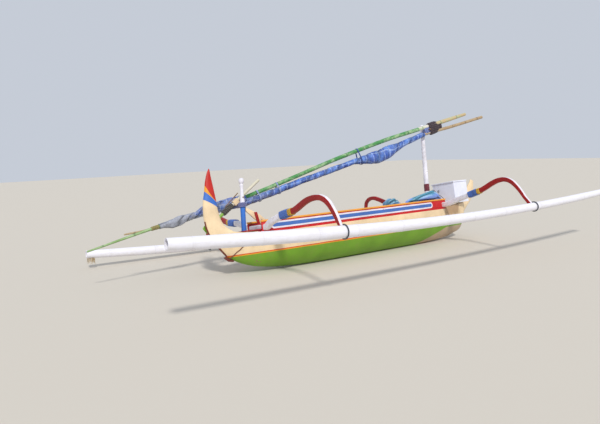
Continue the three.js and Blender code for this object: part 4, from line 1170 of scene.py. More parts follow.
@dataclass
class Outriggers:
    """Two booms of white beam and red arched arms, their lashings, and the bamboo floats."""

    plan: Plan
    # Cord of the blue bands and of the yellow whippings, and how thick each lies
    band_cord: float = 0.009
    band_thick: float = 0.0145
    whip_cord: float = 0.0085
    whip_thick: float = 0.009
    peak: float = 1.5
    bend_from: float = 1.45
    foot_half: float = 0.022
    rope_ahead: float = 0.033
    rope_radius: float = 0.008
    float_ends: tuple[float, float] = (-1.42, 6.374)
    culm: float = 0.62
    # Wall of the pole and depth of the hollow at its aft end
    bore: tuple[float, float] = (0.012, 0.09)
    splinters: int = 40
    splinter_radius: float = 0.0028

    def beam(self, boom: Boom) -> Patch:
        """Beam across the hull: a rounded square section carried along the boom's line."""
        path, half = boom.line(np.linspace(-boom.beam_end, boom.beam_end, 141))
        return surface(carry(path, oval(32, 5.0)[None] * half[:, None]))

    def arm(self, boom: Boom, side: float) -> Patch:
        """Arm from the beam's end over the peak to the float, its white stripe on the upper face.

        Its foot is scribed to the float: the last ring lies on the circle of the float's section.
        """
        ys = np.concatenate([np.linspace(boom.beam_end + SEAM, self.bend_from, 40),
                             np.linspace(self.bend_from, boom.rows[-1, 0], 80)[1:]])
        path, half = boom.line(side * ys)
        shape = oval(44, 5.0)
        grid = carry(path, shape[None] * half[:, None])
        x = boom.x + side * shape[:, 0] * self.foot_half
        out = shape[:, 1] * self.foot_half - boom.foot_in
        radius = self.plan.float_radius(x) + SNUG
        foot = np.stack([x, side * (self.plan.float_y + out),
                         self.plan.float_z(x) + np.sqrt(radius ** 2 - out ** 2)], -1)
        span = np.linspace(0, 1, 9)[1:, None, None]
        grid = np.concatenate([grid, grid[-1:] + (foot - grid[-1:]) * span])
        reach = np.concatenate([ys, np.full(8, 2.0)])[:, None]
        crown = ease((shape[:, 1] - 0.8) / 0.1) * ease((0.86 - np.abs(shape[:, 0])) / 0.2)
        return surface(grid, marks={"crown": crown[None] * ease((reach - self.peak + 0.1) / 0.15)})

    def sleeve(self, boom: Boom, side: float, reach: tuple[float, float], cord: float,
               thick: float) -> Patch:
        """Cord wound tight round a boom between two distances from the middle, to a thickness."""
        ys = side * np.linspace(*reach, int((reach[1] - reach[0]) / cord * 8))
        path, half = boom.line(ys)
        return winding(path, half + SNUG, cord, power=4.0, count=40, lift=thick - cord / 2)

    def foot_rope(self, x: float, side: float) -> Patch:
        """Turn of rope round the float just ahead of the arm's foot."""
        at = x + self.rope_ahead
        axis = unit(np.array([1.0, 0.0, 2 * self.plan.float_bend * (at - self.plan.float_low[0])]))
        angle = TURN * np.arange(64) / 64
        radius = self.plan.float_radius(at) + self.rope_radius + 0.0007
        rise = np.cross(axis, PORT)
        path = (np.array([at, side * self.plan.float_y, self.plan.float_z(at)])
                + radius * (np.cos(angle)[:, None] * PORT + np.sin(angle)[:, None] * rise))
        return tube(path, self.rope_radius, axis, loop=True, sides=12)

    def float_pole(self, side: float) -> Patch:
        """Float: a culm along the parabola, hollow at its aft end."""
        def line(x: Array) -> Array:
            y = np.full_like(x, side * self.plan.float_y)
            return np.stack([x, y, self.plan.float_z(x)], -1)

        return culm(line, self.plan.float_radius, self.float_ends, self.culm, 7 if side > 0 else 11,
                    self.bore)

    def tuft(self) -> Patch:
        """Frayed splinters under the port float's aft end: each leaves its underside and curls."""
        dice = np.random.default_rng(17)
        start, splinters = self.float_ends[0], []
        for _ in range(self.splinters):
            x = start + dice.uniform(0.004, 0.125)
            slant, curl = dice.uniform(-0.5, 0.5), dice.uniform(-0.6, 0.6)
            length = dice.uniform(0.04, 0.105)
            t = np.linspace(-0.1, 1, 9)
            radius = self.plan.float_radius(np.array(x)) * 0.96
            path = np.stack([
                x + 0.3 * length * (slant * t + curl * t * t),
                self.plan.float_y + radius * math.sin(slant) + 0.25 * length * curl * t,
                self.plan.float_z(np.array(x)) - radius * math.cos(slant) - length * t], -1)
            thin = self.splinter_radius * (1.05 - 0.5 * np.clip(t, 0, 1))
            splinters.append(tube(path, thin, AHEAD, sides=6))
        return merge(*splinters)

    def build(self) -> None:
        """Beams, arms, lashings and floats."""
        arm_paint = BandedEnamel("Arm oil enamel", soil=0.2, chips=0.35, mark="crown",
                                 stops=((0.0, "#A20A12"), (0.5, "#F0EEF8")))
        blue = Rope("Blue painted lashing", "#4676CC", "#203C80", lay=0.03, strand=0.02, rough=0.6)
        yellow = Rope("Yellow cord", "#E2B436", "#8A6A1E", lay=0.02, strand=0.012)
        dark = Rope("Tarred rope", "#4A5260", "#20242C", lay=0.03, strand=0.017)
        pole = Bamboo("White painted bamboo", ("#F0EFF8",), "#B9B4B8", "#D9D4D0", fading=0.3,
                      scars=0.25, fibre=0.93)
        for boom in self.plan.booms:
            end = boom.name
            place(f"{end}_boom", self.beam(boom), WHITE, nodes=(f"{end}_beam",))
            for name, side in self.plan.sides:
                where = f"{end}_{name}"
                place(f"{where}_bow", self.arm(boom, side), arm_paint,
                      nodes=(f"{end}_arm_{name}",))
                band = self.sleeve(boom, side, boom.band, self.band_cord, self.band_thick)
                place(f"{where}_lashing", band, blue, nodes=(f"{end}_band_{name}",))
                whipping = self.sleeve(boom, side, boom.whipping, self.whip_cord, self.whip_thick)
                place(f"{where}_whipping", whipping, yellow)
                place(f"{where}_foot_turn", self.foot_rope(boom.x, side), dark,
                      nodes=(f"{end}_foot_rope_{name}",))
        for name, side in self.plan.sides:
            place(f"float_{name}_culm", self.float_pole(side), pole,
                  nodes=(f"float_{name}",))
        fray = Rope("Frayed bamboo", "#D2BC94", "#8A7450", lay=0.02, strand=0.01)
        place("float_port_fray", self.tuft(), fray)


def culm(line: Curve, radius: Curve, ends: tuple[float, float], spacing: float, seed: int,
         bore: tuple[float, float], zone: Curve | None = None, sides: int = 28) -> Patch:
    """Bamboo pole: rings along a line, with a ridge and a groove at each node.

    A node adds 0.035 of the radius on its ridge and 0.015 in a swelling round it, and takes 0.025
    in its groove, on a pole of 0.985 of the radius.

    Args:
        line: Function from places along the pole to points.
        radius: Function from places to radii.
        ends: First and last place.
        spacing: Mean distance between nodes.
        seed: Seed of the nodes' scatter.
        bore: Wall and depth of the hollow at the first end.
        zone: Function from places to the number of the paint's zone and a half, 0 without it.
        sides: Points round the pole.

    Returns:
        The pole, marked with scars and zones.
    """
    dice = np.random.default_rng(seed)
    length = ends[1] - ends[0]
    count = max(2, int(abs(length) / spacing))
    nodes = ends[0] + length * (np.arange(count) + 0.5 + dice.uniform(-0.16, 0.16, count)) / count
    near = np.array([-0.03, -0.016, -0.009, -0.005, 0.0, 0.004, 0.008, 0.014, 0.022, 0.035])
    places = np.concatenate([np.linspace(*ends, int(abs(length) / 0.07)),
                             (nodes[:, None] + near).ravel()])
    places = np.unique(np.round(places[(places >= min(ends)) & (places <= max(ends))], 4))
    away = places[:, None] - nodes
    ridge = np.exp(-(away / 0.006) ** 2).sum(1)
    groove = np.exp(-((away + 0.012) / 0.006) ** 2).sum(1)
    swell = np.exp(-(away / 0.05) ** 2).sum(1)
    size = radius(places) * (0.985 + 0.035 * ridge - 0.025 * groove + 0.015 * swell)
    scar = np.clip(groove + 0.35 * ridge, 0, 1)
    zones = np.zeros_like(places) if zone is None else zone(places)
    wall, depth = bore
    inner = np.array([depth, depth * 0.5, 0.004, 0.0]) + places[0]
    places = np.concatenate([inner, places])
    size = np.concatenate([radius(inner) - wall, size])
    scar = np.concatenate([[0.9, 0.8, 0.5, 0.2], scar])
    zones = np.concatenate([np.full(4, zones[0]), zones])
    path = line(places)
    slope = np.gradient(line(np.sort(places)), axis=0)
    tangent = unit(np.where(np.linalg.norm(slope, axis=1, keepdims=True) > 0, slope, AHEAD))
    order = np.argsort(np.argsort(places))
    tangent = tangent[order]
    side = unit(np.cross(tangent, UP))
    above = np.cross(side, tangent)
    shape = oval(sides)
    grid = path[:, None] + size[:, None, None] * (
        side[:, None] * shape[:, :1] + above[:, None] * shape[:, 1:])
    marks = {"scar": np.broadcast_to(scar[:, None], grid.shape[:2]),
             "zone": np.broadcast_to(zones[:, None], grid.shape[:2])}
    return surface(grid, marks=marks)


@dataclass
class Post:
    """Lathe-turned stern post with its rope becket, and the brace behind it."""

    x: float = 0.318
    base: float = 0.508
    slant: float = 0.0766
    split: float = 0.844
    becket_z: float = 0.872
    becket_radius: float = 0.008
    becket_end: tuple[float, float] = (0.132, 0.026)
    # Height above the base, radius
    profile: Array = listed(
        (0, 36), (60, 34), (320, 35), (345, 39), (380, 37), (470, 29), (590, 22), (640, 27),
        (655, 20), (675, 33), (700, 38), (725, 33), (738, 16), (742, 1))

    def at(self, z: float, y: float = 0.0) -> Array:
        """Point on the post's line at a height."""
        return np.array([self.x + (z - self.base) * self.slant, y, z])

    def turned(self) -> Patch:
        """Post: the profile's radius round a line that leans forward."""
        heights = self.profile[:, 0]
        z = np.concatenate([np.linspace(0, heights[-1], 120), heights])
        z = np.unique(np.round(z, 5))
        radius = glide(self.profile, z)[:, 0]
        path = np.stack([self.x + z * self.slant, 0 * z, self.base + SEAM + z], -1)
        shape = np.concatenate([oval(36), np.zeros((36, 1))], 1)
        return surface(path[:, None] + radius[:, None, None] * shape)

    def becket(self) -> Patch:
        """Four turns of rope, each a long loop from the post to the sail's stern tie."""
        reach, end = self.becket_end
        grip = np.interp(self.becket_z - self.base, *self.profile.T) + self.becket_radius + 0.002
        angle = TURN * np.arange(64) / 64
        out = np.stack([np.cos(angle), np.sin(angle), 0 * angle], -1)
        at_end = (reach * out[:, 1] + end > grip)[:, None]
        turns = []
        for k in (-1.5, -0.5, 0.5, 1.5):
            centre = self.at(self.becket_z + k * 2 * self.becket_radius)
            path = np.where(at_end, centre + [0, reach, 0] + out * end, centre + out * grip)
            turns.append(tube(path, self.becket_radius, UP, loop=True, sides=12))
        return merge(*turns)

    def build(self) -> None:
        """Post, becket, brace and prop."""
        coat = BandedEnamel("Post oil enamel", soil=0.15, chips=0.3, low=0.5, high=1.3,
                            stops=((0.5, "#3573CE"), (self.split, "#EDEBF6")))
        place("post_turning", self.turned(), coat, nodes=("stern_post",))
        rope = Rope("Blue rope", "#868CC0", "#3C4278", lay=0.03, strand=0.017)
        place("becket_turns", self.becket(), rope, nodes=("stern_becket",))
        soften("brace_board", "post_brace", CREAM)
        soften("prop_board", "brace_prop", RED)
        soften("oar_peg_pin", "oar_peg", TIMBER, width=0.002)


@dataclass
class Oar:
    """Steering oar on its peg at the post, with its wound serving and chock."""

    post: Post
    y: float = 0.085
    peg_z: float = 0.976
    angle: float = math.radians(35.1)
    radius: float = 0.022
    serving: tuple[float, float] = (0.15, 0.348)
    serving_cord: float = 0.029
    serving_core: float = 0.027
    green_from: float = 0.34
    # Ends of the stick on the tiller: distance down from the peg, and off the shaft
    stick: tuple[tuple[float, float], ...] = ((-0.02, 0.075), (0.26, 0.052))
    stick_side: float = -0.02
    stick_radius: float = 0.007
    # Distance down from the peg, half height, half thickness
    blade: Array = listed(
        (-415, 20, 20), (-400, 22, 22), (390, 22, 22), (450, 48, 12), (600, 55, 10), (680, 56, 10),
        (700, 48, 8), (705, 40, 7))

    def on(self, a: Array, lift: float = 0.0, side: float = 0.0) -> Array:
        """Points down the oar from its peg, lifted off it and moved to port."""
        a = np.asarray(a, float)[..., None]
        down = np.array([-math.cos(self.angle), 0.0, -math.sin(self.angle)])
        above = np.array([-math.sin(self.angle), 0.0, math.cos(self.angle)])
        return self.post.at(self.peg_z, self.y + side) + a * down + lift * above

    def build(self) -> None:
        """Shaft and blade, serving, chock and the small tiller stick."""
        above = np.array([-math.sin(self.angle), 0.0, math.cos(self.angle)])
        places = self.blade[:, 0]
        a = np.concatenate([np.linspace(places[0], places[-1], 90), places])
        a = np.unique(np.round(a, 5))
        half = glide(self.blade, a)[:, ::-1]
        grid = carry(self.on(a), oval(28)[None] * half[:, None], above)
        zone = np.broadcast_to((a > self.green_from)[:, None] + 0.5, grid.shape[:2])
        paint = Bamboo("Oar wood, green blade", ("#DDD6C4", "#7FB43A"), "#5A4A38", "#BFC98A",
                       fading=0.3)
        place("oar_blade", surface(grid, marks={"zone": zone}), paint, "oar",
              ("steering_oar",))
        rope = Rope("Dark serving", "#5A5650", "#1E1C1A", lay=0.05, strand=0.029)
        path = stretch(self.on(self.serving[0]), self.on(self.serving[1]), self.serving_cord / 10)
        sleeve = winding(path, np.full(2, self.serving_core), self.serving_cord, above)
        place("oar_serving_turns", sleeve, rope, "oar", ("oar_serving",))
        soften("oar_chock_block", "oar_chock", CREAM, "oar", 0.006)
        ends = [self.on(down, lift, self.stick_side) for down, lift in self.stick]
        place("tiller_stick", tube(stretch(*ends, 0.02), self.stick_radius, above), TIMBER,
              "oar")


@dataclass
class Mast:
    """Mast with its turned knob, its red collar, its peg and its step."""

    x: float = 3.98
    slant: float = 0.0763
    ref_z: float = 0.8
    foot_z: float = 0.018
    top_z: float = 1.98
    radius: float = 0.04
    collar: tuple[float, float] = (0.795, 0.922)
    wrap_cord: float = 0.0115
    # Distance above the foot, radius
    taper: Array = listed((0, 40), (1000, 40), (1500, 37.2))
    # Distance below the head, radius
    knob: Array = listed(
        (0, 1), (3, 17), (12, 30), (24, 36), (38, 35), (50, 26), (55, 21), (68, 21), (75, 32),
        (110, 33))

    def at(self, z: Array) -> Array:
        """Points on the mast's line at heights."""
        z = np.asarray(z, float)
        return np.stack([self.x + (z - self.ref_z) * self.slant, 0 * z, z], -1)

    def pole(self) -> Patch:
        """Pole: straight to half its height, then tapering to the knob."""
        head = self.at(self.top_z)
        length = float(np.linalg.norm(head - self.at(self.foot_z)))
        knob = np.stack([length - self.knob[::-1, 0], self.knob[::-1, 1]], -1)
        rows = np.concatenate([self.taper, knob])
        d = np.unique(np.concatenate([np.linspace(0, 1.8, 60), np.linspace(1.8, length, 60)]))
        size = glide(rows, d)[:, 0] * (1 + 0.012 * ripples(3, 5, (d, 2.2)))
        path = self.at(self.foot_z) + d[:, None] * unit(head - self.at(self.foot_z))
        shape = oval(32)[None] * size[:, None, None]
        return surface(carry(path, shape, AHEAD))

    def build(self) -> None:
        """Pole, collar, peg and step."""
        place("mast_pole", self.pole(), WHITE, "mast", ("mast",))
        wrap = Rope("Faded maroon wrap", "#933042", "#4A1620", lay=0.03, strand=0.014, rough=0.8)
        path = stretch(self.at(self.collar[0]), self.at(self.collar[1]), 0.0012)
        sleeve = winding(path, np.full(2, self.radius + SNUG), self.wrap_cord, AHEAD, lift=0.002)
        place("mast_wrap", sleeve, wrap, "mast", ("mast_collar",))
        soften("masthead_pin", "masthead_peg", TIMBER, "mast", 0.002)
        soften("mast_step_block", "mast_step", TIMBER, width=0.005)


@dataclass
class Sail:
    """Furled sail: two bamboo spars, the rolled cloth, its loose tail, ties and lashings."""

    head: Array = listed(3.965, -0.104, 1.901, size=1.0)
    tail_end: Array = listed(-1.677, 0.402, 0.499, size=1.0)
    # s aft along the bundle, up, across, half height, half width
    upper: Array = listed(
        (-1085, -30, 0, 27, 27), (-480, -13, 0, 36, 36), (0, 0, 0, 34, 34), (900, 28, 0, 34, 34),
        (1900, 15, 0, 32, 32), (2400, -8, 0, 31, 31), (3000, -34, 0, 30, 30),
        (3280, -42, 0, 29, 29), (3750, -48, 0, 27, 27), (4000, -45, 0, 26, 26),
        (4300, -37, 0, 25, 25), (4600, -25, 0, 23, 23), (5100, -8, 0, 19, 19),
        (5836, 0, 0, 12, 12))
    lower: Array = listed(
        (-1476, -190, 0, 27, 27), (-600, -150, 0, 28, 28), (0, -112, 0, 28, 28),
        (900, -150, 0, 26, 26), (1650, -122, 0, 25, 25), (3000, -124, 0, 24, 24),
        (3700, -114, 0, 22, 22), (4000, -90, 24, 21, 21), (4300, -60, 42, 20, 20),
        (4600, -44, 42, 18, 18), (4960, -16, 40, 16, 16), (5339, 42, 45, 11, 11))
    roll: Array = listed(
        (20, -110, 0, 48, 46), (500, -132, 0, 56, 54), (700, -155, 0, 80, 72),
        (900, -178, 0, 112, 88), (1150, -184, 0, 114, 88), (1380, -160, 0, 80, 70),
        (1650, -125, 0, 46, 46), (2050, -124, 0, 50, 50), (2600, -118, 0, 50, 50),
        (3000, -124, 0, 54, 56), (3300, -126, 0, 55, 58), (3640, -122, 0, 60, 62))
    tail: Array = listed(
        (3560, -86, 0, 80, 62), (3660, -82, 0, 82, 62), (3850, -66, 0, 80, 60),
        (4100, -38, 4, 68, 54), (4240, -24, 8, 56, 48), (4330, -36, 12, 44, 44),
        (4430, -46, 16, 30, 40), (4520, -50, 18, 34, 40), (4620, -58, 20, 44, 40),
        (4700, -56, 22, 44, 38), (4780, -38, 24, 34, 38), (4880, -20, 24, 26, 38))
    ties: tuple[tuple[str, float], ...] = (
        ("fore", 1.48), ("middle", 3.05), ("aft", 3.39), ("stern", 3.747))
    # Distances aft at which the rolled cloth and its tail begin and end, and of the straw lashing
    cloth: tuple[float, float] = (0.02, 3.66)
    slack_cloth: tuple[float, float] = (3.6, 4.885)
    straw_at: float = 4.945
    # Distances aft at which the upper spar's colour changes
    paint_ends: tuple[float, ...] = (-0.3, 0.11, 4.8)
    # Radius and turns of the ties, and of the straw lashing
    tie_cord: tuple[float, int] = (0.0028, 4)
    straw_cord: tuple[float, int] = (0.0038, 13)
    clearance: float = 0.012
    # Wall of a spar and depth of the hollow at its fore end
    bore: tuple[float, float] = (0.009, 0.05)
    lashing: tuple[float, ...] = (-0.43, -0.015, -0.058, 0.112, 0.05)
    pale_from: float = -0.125
    turns: float = 2.4

    def axes(self) -> tuple[Array, Array, Array]:
        """Directions aft along the bundle, to port across it, and up square to it."""
        aft = unit(self.tail_end - self.head)
        across = unit(np.cross(aft, UP))
        return aft, across, np.cross(across, aft)

    def on(self, s: Array, up: Array, across: Array) -> Array:
        """Points of the bundle from distances aft, up and across."""
        aft, side, above = self.axes()
        s, up, across = (np.asarray(v, float)[..., None] for v in (s, up, across))
        return self.head + s * aft + up * above + across * side

    def spar(self, rows: Array, seed: int, spacing: float, zone: Curve | None = None) -> Patch:
        """Spar: a culm along its table's line."""
        def line(s: Array) -> Array:
            level = glide(rows, s)
            return self.on(s, level[..., 0], level[..., 1])

        def radius(s: Array) -> Array:
            return glide(rows, s)[..., 2]

        return culm(line, radius, (rows[0, 0], rows[-1, 0]), spacing, seed, self.bore, zone)

    def ring(self, s: Array, tables: list[Array], margin: Array, angle: Array) -> Array:
        """Rings stretched round ovals at distances aft: each way, the furthest oval's edge.

        Args:
            s: Distances aft, one a row.
            tables: Tables of the ovals.
            margin: Distance off the ovals.
            angle: Directions round the bundle, one a column.

        Returns:
            Grid of points.
        """
        c, d = np.cos(angle), np.sin(angle)
        rows = np.stack([glide(t, s) for t in tables])[:, :, None]
        up, across, high, wide = (rows[..., k] for k in range(4))
        size = np.hypot(high * c, wide * d)
        reach = up * c + across * d + size
        rise = up + high ** 2 * c / size + margin * c
        aside = across + wide ** 2 * d / size + margin * d
        best = reach.argmax(0)[None]
        rise = np.take_along_axis(rise, best, 0)[0]
        aside = np.take_along_axis(aside, best, 0)[0]
        return self.on(np.broadcast_to(s[:, None], rise.shape), rise, aside)

    def rolled(self) -> Patch:
        """Rolled cloth: a spiral round the lower spar that grows to the roll's oval.

        A point is the spar's edge times 1 - g plus the oval's edge times g, where g eases from 0 to
        1 over the first turn. Creases run on a slant as the cloth was twisted up.
        """
        s = np.linspace(*self.cloth, 300)[:, None]
        phi = np.linspace(0.35, self.turns * TURN, 170)[None]
        spar, roll = glide(self.lower, s[:, 0])[:, None], glide(self.roll, s[:, 0])[:, None]
        g = ease(phi / TURN)
        left = self.turns - phi / TURN
        crease = np.abs(np.sin(math.pi * (s / 0.31) + 0.5 * phi + 0.9 * ripples(5, 4, (s, 1.5))))
        fine = np.abs(np.sin(math.pi * (s / 0.13) + phi + 1.1 * ripples(6, 4, (s, 3.0))))
        depth = 0.11 * (1 - crease) ** 2 + 0.07 * (1 - fine) ** 3
        swell = 0.03 * ripples(8, 6, (s, 2.5), (np.cos(phi), 0.4), (np.sin(phi), 0.4))
        pinch = sum(0.10 * np.exp(-((s - at) / 0.035) ** 2) for _, at in self.ties)
        size = (1 - depth + swell - pinch - 0.035 * np.maximum(left, 0)) * 0.97
        c, d = np.cos(phi), np.sin(phi)
        near = spar[..., 2] + 0.003
        up = (1 - g) * (spar[..., 0] + near * c) + g * (roll[..., 0] + roll[..., 2] * size * c)
        across = (1 - g) * (spar[..., 1] + near * d) + g * (roll[..., 1] + roll[..., 3] * size * d)
        grid = self.on(np.broadcast_to(s, up.shape), up, across)
        around = (phi / TURN * 0.36) + 0 * s
        uv = np.stack([s + 0.22 * around, around - 0.10 * s], -1)
        faded = 0.15 + 0.5 * ease((s - 3.05) / 0.4) + 0 * up
        # Crease mark, read by the cloth as painted shade: deepest in the creases and where the ties
        # pinch
        deep = np.clip(8 * depth + 3 * pinch, 0, 1) + 0 * up
        marks = {"faded": faded, "crease": deep}
        return surface(grid, ring=False, caps=False, uv=uv, marks=marks).turned()

    def loose(self) -> Patch:
        """Tail of the cloth: one turn and a third round both spars, in long slack folds."""
        s = np.linspace(*self.slack_cloth, 150)
        phi = np.linspace(-0.6, 1.35 * TURN - 0.6, 130)
        row, col = s[:, None], phi[None]
        slack = 0.006 * ripples(12, 6, (row, 3.0), (np.cos(col), 0.5), (np.sin(col), 0.5))
        fold = np.abs(np.sin(math.pi * (row / 0.21) + 1.2 * col + ripples(13, 4, (row, 2.0))))
        pinch = 0.007 * np.exp(-((row - self.ties[-1][1]) / 0.035) ** 2)
        margin = 0.002 + 0.0045 * (col + 0.6) / TURN + slack - 0.012 * (1 - fold) ** 3 - pinch
        margin = margin * ease((4.92 - row) / 0.2)
        clear = np.array([0, 0, 0, self.clearance, self.clearance])
        grid = self.ring(s, [self.upper + clear, self.lower + clear, self.tail], margin, phi)
        around = col / TURN * 0.46 + 0 * row
        uv = np.stack([row + 0.25 * around, around - 0.12 * row], -1)
        faded = np.broadcast_to(0.6 + ease((row - 4.22) / 0.4), grid.shape[:2])
        # Crease mark, read by the cloth as painted shade in the valleys of the folds
        deep = np.clip(1.2 * (1 - fold) ** 2, 0, 1) + 0 * around
        marks = {"faded": faded, "crease": deep}
        return surface(grid, ring=False, caps=False, uv=uv, marks=marks).turned()

    def tie(self, s: float, around: list[Array], radius: float, count: int) -> Patch:
        """Turns of cord side by side, pulled tight round the ovals of some tables."""
        aft, _, _ = self.axes()
        angle = TURN * np.arange(72) / 72
        rings = []
        for k in range(count):
            at = np.array([s + (k - (count - 1) / 2) * 2 * radius])
            path = self.ring(at, around, radius + 0.001, angle)[0]
            rings.append(tube(path, radius, aft, loop=True, sides=8))
        return merge(*rings)

    def build(self) -> None:
        """Spars, cloth, ties and the lashing at the mast's head."""
        green = Bamboo("Green painted bamboo", ("#CDB68A", "#E6E0D2", "#4A9450", "#86A866"),
                       "#2C5438", "#B4CCA0", fading=0.75)
        dry = Bamboo("Dry bamboo", ("#B59A76",), "#4E3C2A", "#D4C8A6", fading=0.4)

        def zone(s: Array) -> Array:
            return sum(1.0 * (s > end) for end in self.paint_ends) + 0.5

        place("upper_spar_culm", self.spar(self.upper, 21, 0.42, zone), green,
              "sail", ("upper_spar",))
        place("lower_spar_culm", self.spar(self.lower, 22, 0.34), dry, "sail",
              ("lower_spar",))
        cloth = SailCloth("Blue plaid sail cloth")
        rolled = place("rolled_sail", self.rolled(), cloth, "sail", ("sail_roll",),
                       80.0)
        loose = place("loose_sail", self.loose(), cloth, "sail", ("sail_tail",), 80.0)
        pale = Rope("Pale tie cord", "#A9BCE4", "#56669A", lay=0.014, strand=0.008)
        blue = Rope("Blue tie cord", "#3C62B4", "#1C3070", lay=0.014, strand=0.008)
        for name, s in self.ties:
            around = self.tail if name == "stern" else self.roll
            cord = pale if name in ("middle", "aft") else blue
            turns = self.tie(s, [self.upper, around], *self.tie_cord)
            place(f"tie_{name}_turns", turns, cord, "sail", (f"sail_tie_{name}",))
        straw = Rope("Straw cord", "#BDB068", "#4E4620", lay=0.014, strand=0.008)
        turns = self.tie(self.straw_at, [self.upper, self.lower], *self.straw_cord)
        place("tail_lashing_turns", turns, straw, "sail")
        wrap = Rope("Dark masthead lashing", "#43303A", "#181014", lay=0.04, strand=0.022)
        light = Rope("Pale blue wrap", "#8FA0DC", "#2C3E88")
        s0, s1, up, high, wide = self.lashing
        _, _, above = self.axes()
        # Share of the lashing's length and of its thickness: fullest by the mast, thin at the tips
        shapes = {"dark": np.array([(0, 0.62), (0.12, 0.72), (0.5, 0.98), (0.85, 1.0), (1, 0.94)]),
                  "pale": np.array([(0, 0.86), (0.5, 0.8), (1, 0.66)])}
        for name, start, end, size, finish, nodes in (
                ("dark", s0, self.pale_from, 0.021, wrap, ("masthead_lashing",)),
                ("pale", self.pale_from + 0.004, s1, 0.016, light, ())):
            path = stretch(self.on(start, up, 0.0), self.on(end, up, 0.0), size / 10)
            along = np.linspace(0, 1, len(path))
            lumps = np.minimum(0.005 * ripples(41, 5, (along, 5.0)), 0.003)[:, None]
            half = (np.array([wide, high]) - 0.011) * glide(shapes[name], along) + lumps
            sleeve = winding(path, half, size, above, count=60, lift=-0.003)
            place(f"masthead_{name}_turns", sleeve, finish, "sail", nodes)


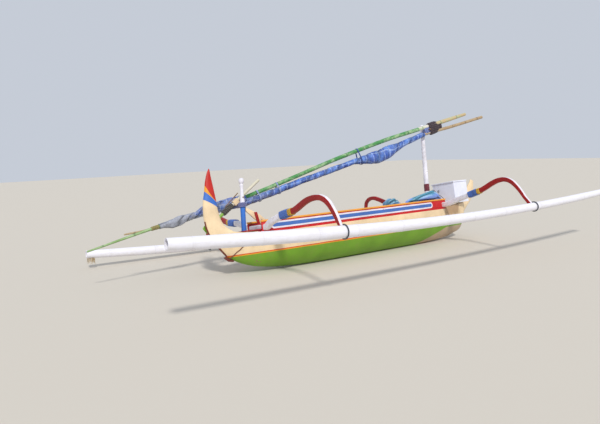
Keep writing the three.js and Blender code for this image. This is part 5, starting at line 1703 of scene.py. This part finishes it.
@dataclass
class BowStowage:
    """White locker on the bow deck, and two covers folded on the thwart and the forward beam."""

    # Name, seed, then middle x, y, length, foot width, width, bottom, waist, height, all times MM
    covers: tuple[tuple[str, int, tuple[float, ...]], ...] = (
        ("aft", 31, (3040, -65, 300, 210, 210, 505.3, 560, 235)),
        ("fore", 32, (3720, -150, 900, 104, 176, 564.6, 627, 225)))
    # Share of length from the middle, of width, and of height for the aft and the fore cover
    shares: Array = listed(
        (-1.0, 0.7, 0.6, 0.42), (-0.6, 1.0, 0.92, 0.6), (0.0, 1.0, 1.0, 0.86),
        (0.48, 1.0, 0.94, 1.0), (0.6, 0.96, 0.88, 0.88), (0.75, 0.88, 0.76, 0.56),
        (0.88, 0.78, 0.62, 0.34), (1.0, 0.7, 0.5, 0.2), size=1.0)
    # Taut line over the fore cover to the end of the rail cap: x, y, z
    line: Array = listed(
        (3925, -105, 772), (3940, -140, 789), (3958, -170, 791), (4000, -181, 754),
        (4032, -191, 716), (4075, -212, 674), (4108, -234, 634), (4112, -238, 621))
    # Eye on the locker's aft face: x, y, z, and radius of its ring
    eye: tuple[float, float, float, float] = (4.3952, 0.112, 0.786, 0.014)

    def hook(self) -> Patch:
        """Iron eye screwed into the locker's aft face, with a ring that hangs in it."""
        x, y, z, radius = self.eye
        angle = TURN * np.arange(40) / 40
        facing = np.stack([0 * angle, np.cos(angle), np.sin(angle)], -1)
        ring = np.array([x - 0.009, y + 0.003, z - radius]) + radius * facing
        edgewise = np.stack([np.cos(angle), 0 * angle, np.sin(angle)], -1)
        eye = np.array([x - 0.0085, y, z]) + 0.0055 * edgewise
        shank = stretch((x - 0.0035, y, z), (x + 0.004, y, z), 0.002)
        return merge(tube(ring, 0.0032, AHEAD, loop=True, sides=12),
                     tube(eye, 0.0022, PORT, loop=True, sides=10),
                     tube(shank, 0.0025, UP, sides=10))

    def cover(self, sizes: tuple[float, ...], seed: int, column: int) -> Patch:
        """Cover folded in a heap: long pleats that wander along it, pinched at both ends.

        Round it, the breadth is a cosine and the height a sine, both to the 0.6 power, from one hem
        over the top to the other. A pleat is one minus the size of a sine, which is a sharp valley.
        """
        x, y, length, foot, width, bottom, waist, height = (v * MM for v in sizes)
        a = np.linspace(-1, 1, 130)[:, None]
        b = np.linspace(0, math.pi, 150)[None]
        share = glide(self.shares, a)
        wide, tall = share[..., 0], share[..., column]
        close = ease((1 - np.abs(a)) / 0.16) ** 0.5
        rise = height * tall * np.sin(b) ** 0.6 * (0.35 + 0.65 * close)
        narrow = foot / width + (1 - foot / width) * ease((rise + bottom - waist) / 0.036)
        out = np.sign(np.cos(b)) * np.abs(np.cos(b)) ** 0.6
        half = width / 2 * wide * out * narrow * (0.25 + 0.75 * close)
        wander = ripples(seed, 5, (a, 0.9), (b, 0.35))
        phase = 4.3 * b + 1.3 * a + 1.3 * wander
        pleats = (1 - np.abs(np.sin(phase))) ** 1.5
        drift = ripples(seed + 1, 5, (a, 1.3), (b, 0.5))
        fine = (1 - np.abs(np.sin(9.3 * b - 2.7 * a + 1.9 * drift))) ** 2
        deep = -(0.026 * pleats + 0.009 * fine) * ease(np.sin(b) * 4) * (0.4 + 0.6 * close)
        across, above = np.cos(b), np.sin(b)
        grid = np.stack([x + a * length / 2 + 0 * b, y + half + deep * across,
                         bottom + rise + deep * above], -1)
        fold = np.clip(0.85 * pleats + 0.35 * fine, 0, 1)
        face = 0.5 + 0.5 * np.tanh(4 * np.sin(phase / 2 + 0.8 + 0.7 * wander))
        return surface(grid, ring=False, caps=False, marks={"fold": fold, "face": face})

    def build(self) -> None:
        """Locker, lid, hinge and covers."""
        soften("locker_box", "bow_locker", LOCKER_WHITE, width=0.003)
        soften("locker_top", "locker_lid", LOCKER_WHITE, "lid", 0.004)
        soften("locker_hinge_bar", "locker_hinge", TIMBER, width=0.0008)
        iron = Rope("Rusted iron ring", "#3A302C", "#1E1816", lay=0.05, strand=0.03, rough=0.7)
        place("locker_eye_ring", self.hook(), iron)
        tarred = Rope("Tarred line", "#3C3A38", "#1A1816", lay=0.014, strand=0.008)
        place("cover_line", tube(refine(self.line, 5), 0.0045, sides=8), tarred)
        cloths = {"aft": CoverCloth("Teal tarpaulin", "#3A7E9C", "#5C94BC"),
                  "fore": CoverCloth("Blue tarpaulin")}
        for column, (name, seed, sizes) in enumerate(self.covers, 1):
            node = f"cover_cloth_{name}"
            patch = self.cover(sizes, seed, column)
            piece = place(f"cover_{name}", patch, cloths[name], nodes=(node,),
                          sharp=80.0)


def main() -> None:
    logging.basicConfig(level=logging.INFO, format="%(name)s %(message)s")
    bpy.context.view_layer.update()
    plan = Plan()
    post = Post()
    for part in (Stage(), Dugout(plan), Topsides(plan), Outriggers(plan), post, Oar(post), Mast(),
                 Sail(), BowStowage()):
        LOG.info("building %s", type(part).__name__)
        part.build()


if __name__ == "__main__":
    main()
